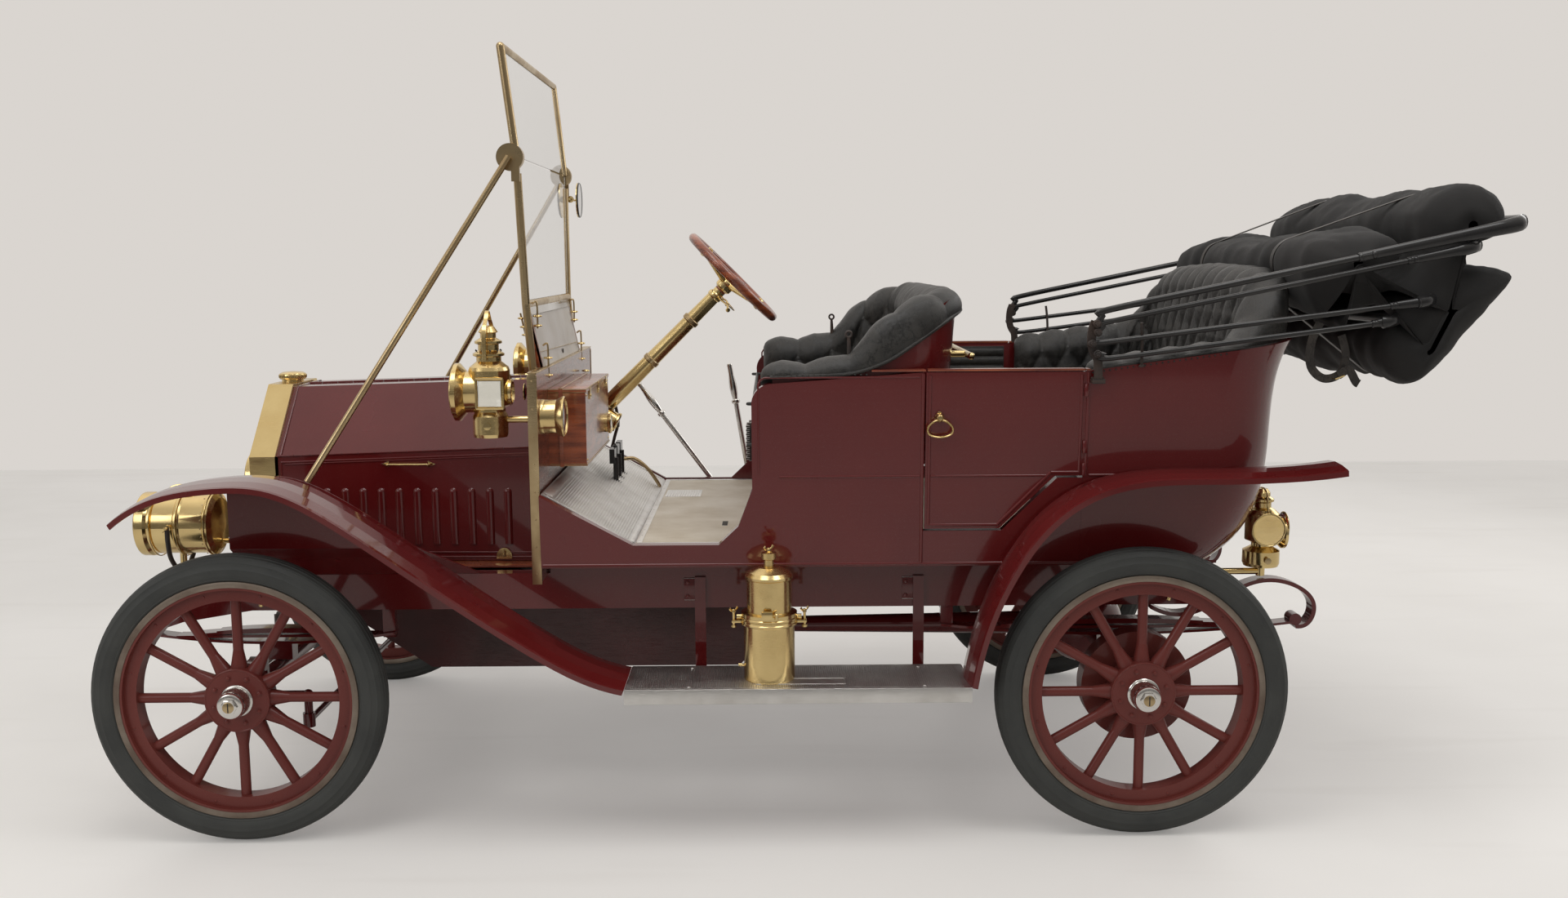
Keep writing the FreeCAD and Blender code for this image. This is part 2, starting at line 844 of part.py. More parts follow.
def leaf_stack(name, middle, span, eye, low):
    """A stack of leaves, the longest on top with its ends at the eyes, each lower one shorter."""
    leaves = []
    for index in range(LEAF_COUNT):
        share = 1.0 - LEAF_STEP_SHARE * index
        reach = span * share
        centre = low + d.leaf_thickness * (LEAF_COUNT - 1)
        rise = (eye - centre) * share ** 2
        drop = d.leaf_thickness * index
        low, high = centre - drop, centre + rise - drop
        leaves.append(leaf(f"{name}_{index}", (middle - reach, high), (middle, low), (middle + reach, high),
                           d.leaf_thickness + d.leaf_bite))
    return leaves


def on_side(item, half, side):
    item.Placement.Base = vector(0, half * side, 0)
    return item


def scroll(side):
    """The top spring, clamped under the rail, that curls down and round the lower spring's eye."""
    thick = d.scroll_stack / 2
    level = d.level_rail_bottom - d.seat_gap - thick / 2
    start = d.station_rail_rear - d.scroll_clamp
    places = ((0.0, 0.0), (0.43, 0.5), (0.81, 0.43), (1.0, 0.0), (0.955, -0.36), (0.83, -0.44))
    path = [vector(at(start), d.rail_half * side, level)]
    path += [vector(at(d.station_rail_rear + d.scroll_reach * along), d.rail_half * side,
                    level + d.scroll_height * up) for along, up in places]
    across = vector(0, d.leaf_width / 2, 0)
    up = vector(0, 0, thick / 2)
    return strip_sweep(path, [path[0] - across - up, path[0] + across - up,
                              path[0] + across + up, path[0] - across + up])


def make_springs():
    fronts, rears = [], []
    eye_level = d.level_rail_bottom - d.horn_drop - d.spring_stack / 2 - d.seat_gap
    main_eye = d.level_rail_bottom - d.horn_drop - d.leaf_thickness - d.leaf_bite - d.seat_gap
    for side, word in SIDES:
        span = d.front_spring_half
        stack = [on_side(item, d.rail_half, side)
                 for item in leaf_stack(f"front_leaf_{word}", ZERO, span, main_eye, d.level_front_spring)]
        seat = block(f"front_seat_{word}", at(d.leaf_width * -1), (d.rail_half * side) - d.leaf_width / 2,
                     d.tyre_radius + d.axle_radius + d.seat_gap, d.leaf_width * 2, d.leaf_width,
                     d.level_front_spring + d.spring_stack - d.tyre_radius - d.axle_radius)
        rear_hang = block(f"front_shackle_{word}", at(span - d.spring_stack),
                          (d.rail_half * side) - d.leaf_width / 4, eye_level, d.spring_stack,
                          d.leaf_width / 2, d.level_rail_bottom - eye_level - d.seat_gap)
        fronts.append(fuse(f"front_spring_{word}", stack + [seat, rear_hang]))
    keep("front_springs", group("front_springs", fronts))
    eye = d.level_rear_spring + d.rear_spring_rise
    for side, word in SIDES:
        axle, span = d.wheelbase, d.rear_spring_half
        stack = [on_side(item, d.rail_half, side)
                 for item in leaf_stack(f"rear_leaf_{word}", axle, span, eye, d.level_rear_spring)]
        seat = block(f"rear_seat_{word}", at(axle - d.leaf_width), (d.rail_half * side) - d.leaf_width / 2,
                     d.tyre_radius + d.axle_radius + d.seat_gap, d.leaf_width * 2, d.leaf_width,
                     d.level_rear_spring + d.spring_stack - d.tyre_radius - d.axle_radius)
        hang = block(f"rear_hanger_{word}", at(axle - span), (d.rail_half * side) - d.leaf_width / 4,
                     eye, d.spring_stack, d.leaf_width / 2, d.level_rail_bottom - eye - d.seat_gap)
        curl = feature(f"scroll_{word}", scroll(side))
        eye_width = d.leaf_width - d.bonnet_sheet
        ring = rod(f"rear_eye_{word}", d.spring_stack / 2, eye_width, at(axle + span + d.spring_stack / 4),
                   (d.rail_half * side) - eye_width / 2, eye + d.spring_stack / 3, (0, 1, 0))
        rears.append(fuse(f"rear_spring_{word}", stack + [seat, hang, ring, curl]))
    keep("rear_springs", group("rear_springs", rears))


def make_rear_axle():
    z = d.tyre_radius
    reach = d.track / 2 - d.hub_inner - d.drum_width - d.stub_end
    end = d.track / 2 + d.flange_face + d.stub_end
    parts = [
        rod("rear_tube", d.axle_radius, reach * 2, at(d.wheelbase), -reach, z, (0, 1, 0)),
        rod("rear_shaft", d.stub_radius, end * 2, at(d.wheelbase), -end, z, (0, 1, 0)),
        ball("rear_housing", d.housing_radius, at(d.wheelbase), ZERO, z),
        cone("torque_tube", d.torque_tube_radius, d.axle_radius, d.wheelbase - d.pan_rear - d.seat_gap,
             at(d.wheelbase), ZERO, z, (-1, 0, 0.0)),
    ]
    keep("rear_axle", fuse("rear_axle", parts))


def make_engine():
    keep("engine", block("engine", at(d.pan_front), d.pan_half / -2, d.level_rail_bottom,
                         d.dash_station - d.pan_front * 2, d.pan_half, d.rail_half))
    bottom = d.level_pan_bottom
    top = d.level_rail_bottom - d.seat_gap
    corners = (
        (at(d.pan_front), top),
        (at(d.pan_front), top - d.cross_depth),
        (at(d.pan_front + d.pan_half), bottom),
        (at(d.pan_rear - d.cross_depth), bottom),
        (at(d.pan_rear), bottom + d.cross_depth),
        (at(d.pan_rear), top),
    )
    tray = profile_bar("pan_tray", corners, -d.pan_half, d.pan_half)
    wing_front = d.front_spring_half + d.leaf_width
    wing = block("pan_wing", at(wing_front), -d.rail_half, top - d.bonnet_sheet, d.pan_rear - wing_front,
                 d.rail_half * 2, d.bonnet_sheet)
    keep("under_pan", fuse("under_pan", [tray, wing]))


LOUVRE_COUNT = 11


def bonnet_section(station, share, lip):
    """The six-sided bonnet outline at a station, between radiator and dash."""
    half = d.bonnet_shoulder_half + d.bonnet_spread * share + lip
    flat = d.bonnet_flat_half + d.bonnet_spread * share / 2 + lip / 2
    top = d.level_bonnet_top + d.bonnet_rise * share + lip
    shoulder = d.level_shoulder + d.shoulder_rise * share
    return half, flat, top, shoulder


def hexagon(station, share, lip, bottom):
    half, flat, top, shoulder = bonnet_section(station, share, lip)
    pairs = ((-half, bottom), (-half, shoulder), (-flat, top), (flat, top), (half, shoulder), (half, bottom))
    return [vector(at(station), y, z) for y, z in pairs]


def closed(points):
    return Part.makePolygon(points + points[:1])


def make_radiator():
    front, back = d.radiator_front, d.radiator_back
    shell = prism(hexagon(front, 0, d.radiator_lip, d.level_radiator_bottom), vector(back - front, 0, 0))
    core = prism(hexagon(front, 0, -d.core_border, d.level_radiator_bottom + d.core_border),
                 vector(d.core_recess, 0, 0))
    shell = shell.cut(core)
    neck = Part.makeCylinder(float(d.cap_neck_radius), float(d.level_cap_top - d.level_bonnet_top),
                             vector(at((front + back) / 2), 0, d.level_bonnet_top))
    keep("radiator", feature("radiator", shell.fuse(neck)))


def louvres(side):
    """Upright pressed vents on a bonnet side: a round ridge each, domed at its top."""
    length = d.dash_station - d.radiator_back
    ridges = []
    for index in range(LOUVRE_COUNT):
        station = d.louvre_front + d.louvre_pitch * index
        share = float(station - d.radiator_back) / float(length)
        face = d.bonnet_shoulder_half + d.bonnet_spread * share - d.bonnet_sheet / 2
        centre = vector(at(station), (face - d.louvre_sink) * side, d.level_louvre_bottom)
        height = vector(0, 0, d.louvre_height)
        radius = float(d.louvre_radius)
        ridge = Part.makeCylinder(radius, height.Length, centre)
        ridge = ridge.fuse(Part.makeSphere(radius, centre + height))
        keep_y = face if side > 0 else -face - d.louvre_radius
        outside = Part.makeBox(radius * 2, radius, height.Length + radius,
                               vector(at(station - d.louvre_radius), keep_y, d.level_louvre_bottom))
        ridges.append(ridge.common(outside))
    return ridges


def make_bonnet():
    gap = d.bonnet_gap
    first = d.radiator_back + d.seat_gap
    last = d.dash_station - d.seat_gap
    skins = []
    for inset in (ZERO, d.bonnet_sheet):
        loops = []
        for station, share in ((first, 0), (last, 1)):
            half, flat, top, shoulder = bonnet_section(station, share, -inset)
            pairs = ((-half, shoulder), (-flat, top), (flat, top), (half, shoulder))
            loops.append(closed([vector(at(station), y, z) for y, z in pairs]))
        skins.append(Part.makeLoft(loops, True, True))
    skins[1].translate(vector(0, 0, -d.bonnet_sheet))
    keep("bonnet_top", feature("bonnet_top", skins[0].cut(skins[1])))
    for side, word in SIDES:
        loops = []
        for station, share in ((first + gap, 0), (last - gap, 1)):
            half, flat, top, shoulder = bonnet_section(station, share, ZERO)
            outer = half * side
            inner = (half - d.bonnet_sheet) * side
            high = shoulder - d.seat_gap
            pairs = ((outer, d.level_bonnet_bottom), (outer, high), (inner, high),
                     (inner, d.level_bonnet_bottom))
            loops.append(closed([vector(at(station), y, z) for y, z in pairs]))
        panel = Part.makeLoft(loops, True, True)
        keep(f"bonnet_side_{word}", feature(f"bonnet_side_{word}", panel.multiFuse(louvres(side))))


def make_dash():
    low, high, half = d.level_dash_bottom, d.level_dash_top, d.dash_half
    board = block("dash_board", at(d.dash_station), -half, low, d.dash_thickness, half * 2, high - low)
    foot, top = column_ends()
    hole = Part.makeCylinder(float(d.column_radius + d.seat_gap), (top - foot).Length, foot, top - foot)
    keep("dash", cut("dash", board, feature("column_hole", hole)))
    back = d.dash_station + d.dash_thickness
    box = block("coil_box", at(back), -d.coil_box_left, d.level_coil_box, d.coil_box_depth,
                d.coil_box_width, d.coil_box_height)
    keep("coil_box", box)
    drum = rod("speedometer", d.speedometer_radius, d.speedometer_length, at(back),
               -d.speedometer_half, d.level_speedometer, (1, 0, 0))
    keep("speedometer", drum)


def column_ends():
    return (vector(at(d.station_column_foot), d.column_half, d.level_column_foot),
            vector(at(d.station_column_top), d.column_half, d.level_column_top))


def make_column():
    foot, top = column_ends()
    run = top - foot
    direction = Vector(run).normalize()
    column = Part.makeCylinder(float(d.column_radius), run.Length - float(d.wheel_dish), foot, direction)
    gearbox = Part.makeSphere(float(d.gearbox_radius), foot)
    end = d.rail_half + d.rail_flange / 2 + d.bonnet_gap - d.seat_gap
    level = d.tyre_radius + d.drag_arm_rise + d.drop_arm_length
    shaft = Part.makeCylinder(float(d.tie_radius), float(end - d.column_half),
                              vector(at(d.drop_arm_station), d.column_half, level), Vector(0, 1, 0))
    keep("steering_column", feature("steering_column", column.multiFuse([gearbox, shaft])))
    turn = Rotation(Vector(0, 0, 1), direction)
    hub = Part.makeCylinder(float(d.column_radius), float(d.wheel_dish), Vector(0, 0, 0))
    hub.translate(Vector(0, 0, -float(d.wheel_dish - d.seat_gap)))
    ring = Part.makeTorus(float(d.wheel_radius - d.wheel_rim), float(d.wheel_rim),
                          vector(0, 0, d.wheel_dish), Vector(0, 0, 1))
    arms = []
    for quarter in range(4):
        arm = Part.makeCylinder(float(d.wheel_rim) / 2, float(d.wheel_radius - d.wheel_rim), Vector(0, 0, 0),
                                vector(d.wheel_radius - d.wheel_rim, 0, d.wheel_dish))
        arm.rotate(Vector(0, 0, 0), Vector(0, 0, 1), float(d.full_turn) * (quarter + 0.5) / 4)
        arms.append(arm)
    wheel = hub.multiFuse(arms + [ring])
    wheel = wheel.removeSplitter()
    wheel.Placement = Placement(top, turn)
    keep("steering_wheel", feature("steering_wheel", wheel))


def make_screen():
    radius = float(d.screen_tube)
    low_z = d.level_dash_top

    def spot(half, station, level, side):
        return vector(at(station), half * side, level)

    def frame_points(side):
        return [
            spot(d.screen_half_low, d.station_screen_low, d.level_screen_low, side),
            spot(d.screen_half_pivot, d.station_screen_pivot, d.level_screen_pivot, side),
            spot(d.screen_half_top, d.station_screen_top, d.level_screen_top, side),
        ]

    left, right = frame_points(LEFT), frame_points(RIGHT)
    ahead = vector(d.screen_set, 0, 0)
    foot_x = at(d.dash_station - d.screen_tube)
    disc = float(d.screen_disc_radius)
    gap = float(d.bonnet_gap)
    lower = [tube([right[0], left[0]], radius)]
    for points, side in ((left, LEFT), (right, RIGHT)):
        along = (points[1] - points[0]).normalize()
        top = points[1] - along * (disc + gap)
        foot = vector(foot_x, d.screen_half_low * side, low_z - d.strip_width)
        lower.append(tube([foot, points[0], top], radius))
        lower.append(Part.makeSphere(radius, points[0]))
        width = float(d.screen_disc_width)
        out = Vector(0, side, 0)
        face = points[1] + out * (radius + float(d.bonnet_sheet))
        plate = Part.makeCylinder(disc, width, face - ahead, out)
        bridge = top - along * radius
        tab = Part.makeBox(radius * 2, width, points[1].z - bridge.z + radius,
                           Vector(face.x - radius, face.y - (width if side < 0 else 0), bridge.z - radius))
        pin = Part.makeCylinder(float(d.screen_pin_radius), radius + width, bridge, out)
        lower += [plate, tab, pin]
    keep("windscreen_lower", feature("windscreen_lower", lower[0].multiFuse(lower[1:])))
    thick = d.pane_thickness
    low_x = d.dash_station + d.screen_tube / 2
    high_x = d.station_screen_low - thick / 2
    high_z = d.level_screen_low - d.screen_tube - d.seat_gap
    half = d.screen_half_low - d.screen_tube * 2
    pairs = ((at(low_x), low_z + d.seat_gap), (at(low_x + thick), low_z + d.seat_gap),
             (at(high_x + thick), high_z), (at(high_x), high_z))
    keep("screen_board", feature("screen_board", side_prism(pairs, -half, half)))
    pane = screen_pane(left[0], left[1], right[0], right[1], True, False)
    keep("glass_lower", feature("glass_lower", pane))
    upper = [tube([left[1], left[2], right[2], right[1]], radius)]
    for points, side in ((left, LEFT), (right, RIGHT)):
        thick = radius + float(d.bonnet_sheet - d.seat_gap)
        upper.append(Part.makeCylinder(disc, thick, points[1] - ahead, Vector(0, side, 0)))
    keep("windscreen_upper", feature("windscreen_upper", upper[0].multiFuse(upper[1:])))
    pane = screen_pane(left[1], left[2], right[1], right[2], False, True)
    keep("glass_upper", feature("glass_upper", pane))
    stays = []
    for points, side in ((left, LEFT), (right, RIGHT)):
        out = d.screen_tube + d.bonnet_sheet + d.screen_disc_width + d.stay_radius + d.seat_gap
        head = points[1] - ahead + vector(0, out * side, 0)
        foot = spot(d.stay_half, d.stay_station, d.level_stay_foot, side)
        stays.append(feature(f"stay_{side}", tube([foot, head], float(d.stay_radius))))
    keep("screen_stays", group("screen_stays", stays))


def screen_pane(low_left, high_left, low_right, high_right, rests, meets):
    """A sheet of glass inside a frame: it rests on a low tube or meets a high one."""
    edge = float(d.screen_tube) + float(d.seat_gap)
    open_edge = float(d.bonnet_sheet)
    up = (high_left - low_left).normalize()
    low, high = up * (edge if rests else open_edge), up * (edge if meets else open_edge)
    inward = Vector(0, edge + open_edge / 2, 0)
    corners = [low_left + low + inward, high_left - high + inward,
               high_right - high - inward, low_right + low - inward]
    thickness = float(d.pane_thickness)
    return prism([p - Vector(thickness / 2, 0, 0) for p in corners], Vector(thickness, 0, 0))


def body_side_corners():
    """The front body's side outline: toe board, cut-out, seat front and arm."""
    sill = ZERO
    low = d.level_body_bottom
    door = d.station_door_front - d.door_gap
    radius = d.cutout_radius
    return (
        (at(d.body_front), sill),
        (at(d.station_door_hinge), sill),
        (at(d.station_door_hinge), d.level_door_shoulder - d.door_gap - low),
        (at(d.station_door_crook + d.door_gap), d.level_door_shoulder - d.door_gap - low),
        (at(d.station_door_knee + d.door_gap), d.level_door_bottom - d.door_gap - low),
        (at(door), d.level_door_bottom - d.door_gap - low),
        (at(door), d.level_body_top - low),
        (at(d.station_seat_front + d.seat_arm_radius), d.level_body_top - d.seat_arm_radius / 2 - low,
         d.seat_arm_radius, 1),
        (at(d.station_seat_front), d.level_seat_arm_front - low),
        (at(d.station_seat_front), d.level_cutout + radius - low),
        (at(d.station_seat_front - radius / 4), d.level_cutout + radius / 3 - low),
        (at(d.cutout_rear), d.level_cutout - low),
        (at(d.station_toe_foot), d.level_cutout - low),
        (at(d.body_front), d.level_toe_top - low),
    )


def leaning(item, side, clearance=ZERO):
    """Stand a side panel on the sill line and lean it out with the body's flare."""
    rise = float(d.level_body_top - d.level_body_bottom)
    lean = math.degrees(math.atan2(float(d.body_half_high - d.body_half_low), rise))
    item.Placement = Placement(vector(0, (d.body_half_low + clearance) * side, d.level_body_bottom),
                               Rotation(Vector(1, 0, 0), -lean * side))
    return item


def make_front_body():
    sides = []
    for side, word in SIDES:
        low = ZERO if side < 0 else -d.panel
        panel = profile_bar(f"front_side_{word}", body_side_corners(), low, low + d.panel)
        sides.append(leaning(panel, side))
    half = d.body_half_low - d.panel / 4
    seat_top = d.level_front_cushion - d.cushion_thickness - d.cushion_gap
    front = block("seat_box_front", at(d.station_seat_front), -half, d.level_floor, d.panel, half * 2,
                  seat_top - d.level_floor)
    rear = block("seat_box_rear", at(d.station_door_front - d.door_gap - d.panel), -half, d.level_floor,
                 d.panel, half * 2, seat_top - d.level_floor)
    lid = block("seat_box_lid", at(d.station_seat_front), -half, seat_top - d.panel,
                d.station_door_front - d.door_gap - d.station_seat_front, half * 2, d.panel)
    keep("front_body", fuse("front_body", sides + [front, rear, lid, make_seat_shell()]))


def arm_line():
    """The swept top edge of the front seat shell, as X and Z pairs over the arms and back."""
    front = d.station_seat_front + d.seat_arm_radius
    rear = d.seat_back_station + d.seat_rake
    low = d.level_body_top
    high = d.level_seat_back
    length = rear - front
    shares = ((0.0, 0.0), (0.42, 0.04), (0.58, 0.18), (0.74, 0.55), (0.88, 0.86), (1.0, 1.0))
    return [vector(at(front + length * along), 0, low + (high - low) * up) for along, up in shares]


def under_line(points, low, half):
    """Everything below a smooth top line, across the car."""
    curve = spline(points).toShape()
    first, last = points[0], points[-1]
    base = Vector(0, 0, float(low))
    corners = [last, Vector(last.x, 0, base.z), Vector(first.x, 0, base.z), first]
    edges = [curve] + [Part.makeLine(a, b) for a, b in zip(corners, corners[1:])]
    face = Part.Face(Part.Wire(Part.__sortEdges__(edges)))
    face.translate(vector(0, -half, 0))
    return face.extrude(vector(0, half * 2, 0))


def make_seat_shell():
    wall = d.shell_wall
    levels = ((d.level_front_cushion - d.cushion_thickness, ZERO), (d.level_seat_back, d.seat_rake))
    skins = []
    for inset in (ZERO, wall):
        loops = [plan_loop(at(d.station_seat_front + d.seat_arm_radius - inset),
                           at(d.seat_back_station + rake - inset),
                           d.body_half_high - d.panel - inset, d.seat_back_corner - inset, level)
                 for level, rake in levels]
        skins.append(Part.makeLoft(loops, True, True))
    shell = skins[0].cut(skins[1])
    line = arm_line()
    line = [line[0] - vector(d.strip_width, 0, 0)] + line + [line[-1] + vector(d.strip_width, 0, 0)]
    top = under_line(line, d.level_floor, d.bow_half)
    return feature("seat_shell", shell.common(top))


def make_rear_tub():
    hinge = d.station_door_hinge + d.seat_gap
    levels = (
        (d.level_body_bottom, d.tub_rear_low),
        (d.level_floor + d.panel, d.tub_rear_low + d.tub_corner / 2),
        (d.level_tub_mid, d.tub_rear_mid),
        (d.level_tub_high, d.tub_rear_high),
    )
    skins = []
    for inset in (ZERO, d.panel):
        loops = [plan_loop(at(hinge - inset), at(rear - inset), half_at(level) - inset,
                           d.tub_corner - inset, level) for level, rear in levels]
        skins.append(Part.makeLoft(loops, True, False))
    floor = Part.makeBox(float(d.tub_rear_high), float(d.body_half_high * 2), float(d.floor_thickness),
                         vector(at(hinge), -d.body_half_high, d.level_floor - d.floor_thickness))
    shell = skins[0].cut(skins[1]).fuse(skins[0].common(floor))
    slope = (d.level_tub_high - d.level_body_top)
    top = side_prism(((at(hinge), d.level_body_bottom), (at(d.tub_rear_high), d.level_body_bottom),
                      (at(d.tub_rear_high), d.level_body_top + slope), (at(hinge), d.level_body_top)),
                     -d.bow_half, d.bow_half)
    return feature("tub_shell", shell.common(top))


def make_doors():
    low = d.level_body_bottom
    corners = (
        (at(d.station_door_front), d.level_door_bottom - low),
        (at(d.station_door_knee), d.level_door_bottom - low),
        (at(d.station_door_crook), d.level_door_shoulder - low),
        (at(d.station_door_hinge), d.level_door_shoulder - low),
        (at(d.station_door_hinge), d.level_body_top - low),
        (at(d.station_door_front), d.level_body_top - low),
    )
    for side, word in SIDES:
        start = ZERO if side < 0 else -d.panel
        panel = profile_bar(f"rear_door_{word}", corners, start, start + d.panel)
        keep(f"rear_door_{word}", leaning(panel, side))


def make_floor():
    half = d.body_half_low - d.panel - d.bonnet_sheet
    seam = d.station_door_front - d.door_gap
    board = block("front_floor_board", at(d.station_toe_foot), -half, d.level_floor - d.floor_thickness,
                  seam - d.station_toe_foot, half * 2, d.floor_thickness)
    rear_board = block("rear_floor_board", at(seam + d.seat_gap), -half, d.level_floor - d.floor_thickness,
                       d.station_door_hinge - seam - d.seat_gap, half * 2, d.floor_thickness)
    sills = []
    for side, word in SIDES:
        y = d.rail_half * side - d.rail_flange / 2
        sills.append(block(f"sill_{word}", at(d.body_front), y, d.level_rail_top,
                           d.station_sill_rear - d.body_front, d.rail_flange,
                           d.level_body_bottom - d.level_rail_top))
        sills.append(block(f"sill_step_{word}", at(d.station_toe_foot - d.strip_width), y,
                           d.level_body_bottom,
                           d.station_sill_rear - d.station_toe_foot + d.strip_width, d.rail_flange,
                           d.level_floor - d.floor_thickness - d.level_body_bottom - d.seat_gap))
    keep("floor", group("floor", [fuse("front_floor", [board] + sills), rear_board]))
    toe = (
        (at(d.body_front), d.level_toe_top - d.floor_thickness),
        (at(d.station_toe_foot), d.level_floor - d.floor_thickness),
        (at(d.station_toe_foot), d.level_floor),
        (at(d.body_front), d.level_toe_top),
    )
    slope = profile_bar("toe_slope", toe, -half, half)
    slots = []
    for word, y in pedal_places():
        slots.append(block(f"pedal_slot_{word}", at(pedal_station() - d.ball_radius), y - d.ball_radius,
                           d.level_body_bottom, d.ball_radius * 2, d.ball_radius * 2,
                           d.level_toe_top - d.level_body_bottom))
    keep("toe_board", cut("toe_board", slope, group("pedal_slots", slots)))


def pedal_station():
    return (d.body_front + d.station_toe_foot) / 2


def pedal_places():
    return [(word, d.column_half + d.pedal_spread * step)
            for word, step in (("gear", -1.5), ("clutch", -0.5), ("brake", 0.5))]


def pad_solid(front, rear, half, corner, low, high, rake, line):
    """A horseshoe of padding under a top line."""
    skins = []
    for inset in (ZERO, d.pad):
        loops = [plan_loop(at(front - inset), at(rear + lean - inset), half - inset, corner - inset, level)
                 for level, lean in ((low, ZERO), (high, rake))]
        skins.append(Part.makeLoft(loops, True, True))
    ring = skins[0].cut(skins[1])
    return ring.common(under_line(line, low, half))


def cushion(name, front, rear, half, corner, low):
    """A flat seat cushion that fits inside its horseshoe of padding."""
    face = Part.Face(plan_loop(at(front), at(rear), half, corner, low))
    return feature(name, face.extrude(vector(0, 0, d.cushion_thickness)))


def make_seats():
    gap = d.cushion_gap
    inner = d.body_half_high - d.panel - d.shell_wall - gap
    low = d.level_front_cushion - d.cushion_thickness
    keep("front_cushion", cushion("front_cushion", d.station_seat_front + gap,
                                  d.seat_back_station - d.shell_wall - gap * 2 - d.pad, inner - gap - d.pad,
                                  d.seat_back_corner - d.shell_wall - d.pad, low))
    line = [p + vector(-gap, 0, d.pad / 2) for p in arm_line()]
    back = pad_solid(d.station_seat_front + d.seat_arm_radius, d.seat_back_station - d.shell_wall - gap,
                     inner, d.seat_back_corner - d.shell_wall - gap, low, d.level_seat_back + d.pad,
                     d.seat_rake, line)
    keep("front_back_pad", feature("front_back_pad", back))
    inner = d.body_half_low - d.panel - gap
    front = d.station_door_hinge + d.door_gap * 2
    low = d.level_rear_cushion - d.cushion_thickness
    rear = d.tub_rear_mid - d.panel - gap - d.pad_ease
    width = (inner - d.pad - gap) * 2
    keep("rear_cushion", cushion("rear_cushion", rear - d.pad - gap - d.rear_cushion_depth,
                                 rear - d.pad - gap, width / 2, d.tub_corner - d.panel - d.pad, low))
    high = d.level_rear_pad_top
    run = rear - front + d.seat_rake
    rise = high - d.level_rear_pad_front
    shares = ((0.0, 0.0), (0.35, 0.12), (0.6, 0.45), (0.8, 0.85), (1.0, 1.0))
    line = [vector(at(front + run * along), 0, d.level_rear_pad_front + rise * up) for along, up in shares]
    back = pad_solid(front, rear, inner, d.tub_corner - d.panel - gap, low, high + d.pad, d.seat_rake, line)
    keep("rear_back_pad", feature("rear_back_pad", back))
    rear_seat = block("rear_seat_box", at(rear - d.pad - gap - d.rear_cushion_depth), width / -2,
                      d.level_floor, d.rear_cushion_depth, width, low - d.level_floor)
    keep("rear_tub", fuse("rear_tub", [make_rear_tub(), rear_seat]))
    bar = rod("robe_bar", d.stay_radius, d.seat_back_half * 2, at(d.station_robe_rail),
              -d.seat_back_half, d.level_robe_rail, (0, 1, 0))
    parts = [bar]
    for side, word in SIDES:
        parts.append(rod(f"robe_stand_{word}", d.stay_radius, d.robe_stand_length,
                         at(d.station_robe_rail), d.robe_stand_half * side, d.level_robe_rail,
                         (-1, 0, 0)))
    keep("robe_rail", fuse("robe_rail", parts))


def front_fender_line():
    """Side path of the front fender, from its lip over the wheel to its foot."""
    reach = float(d.board_front)
    crown = float(d.tyre_radius * 2 + d.front_fender_clear)
    foot = float(d.level_board)
    shares = ((-0.28, 0.83), (-0.17, 0.95), (-0.03, 1.0), (0.11, 0.99), (0.25, 0.87), (0.42, 0.65),
              (0.6, 0.41), (0.78, 0.185), (0.9, 0.06), (1.0, 0.0))
    return [Vector(float(at(ZERO)) + reach * along, 0, foot + (crown - foot) * up) for along, up in shares]


def rear_fender_line():
    """Side path of the rear fender, from its foot on the board over the wheel to its tail."""
    start = float(d.board_rear)
    span = float(d.wheelbase - d.board_rear)
    crown = float(d.tyre_radius * 2 + d.rear_fender_clear)
    foot = float(d.level_board)
    shares = ((0.001, 0.0), (0.09, 0.3), (0.24, 0.57), (0.44, 0.79), (0.71, 0.935), (1.03, 0.99),
              (1.39, 0.995), (1.67, 1.0), (2.08, 1.03))
    return [Vector(float(at(ZERO)) + start + span * along, 0, foot + (crown - foot) * up)
            for along, up in shares]


def fender_section(first, following, inner, side):
    """A crowned strip with a rolled bead on its outer edge, square to the path's start."""
    along = (following - first).normalize()
    up = Vector(-along.z, 0, along.x)
    inner = float(inner)
    width = float(d.fender_outer) - inner
    crown, sheet_side = float(d.fender_crown), float(d.fender_sheet)
    bead = float(d.fender_bead)
    top = ((0, 0), (0.25, 0.75), (0.5, 1.0), (0.75, 0.75), (0.96, 0.2))
    pairs = [(width * across, crown * high) for across, high in top]
    pairs += [(width, 0), (width, -bead * 2), (width - bead, -bead * 2)]
    pairs += [(min(width * across, width - bead), crown * high - sheet_side) for across, high in top[::-1]]
    return [first + up * high + Vector(0, side * (inner + across), 0) for across, high in pairs]


def make_fenders():
    for axle, line, inner in (("front", front_fender_line(), d.fender_inner),
                              ("rear", rear_fender_line(), d.rear_fender_inner)):
        pair = []
        for side, word in SIDES:
            section = fender_section(line[0], line[1], inner, side)
            strip = strip_sweep(line, section)
            if axle == "front":
                strip = strip.fuse(front_apron(line, side))
            else:
                strip = strip.fuse(rear_apron(line, side))
            pair.append(feature(f"fender_{axle}_{word}", strip))
        keep(f"fenders_{axle}", group(f"fenders_{axle}", pair))


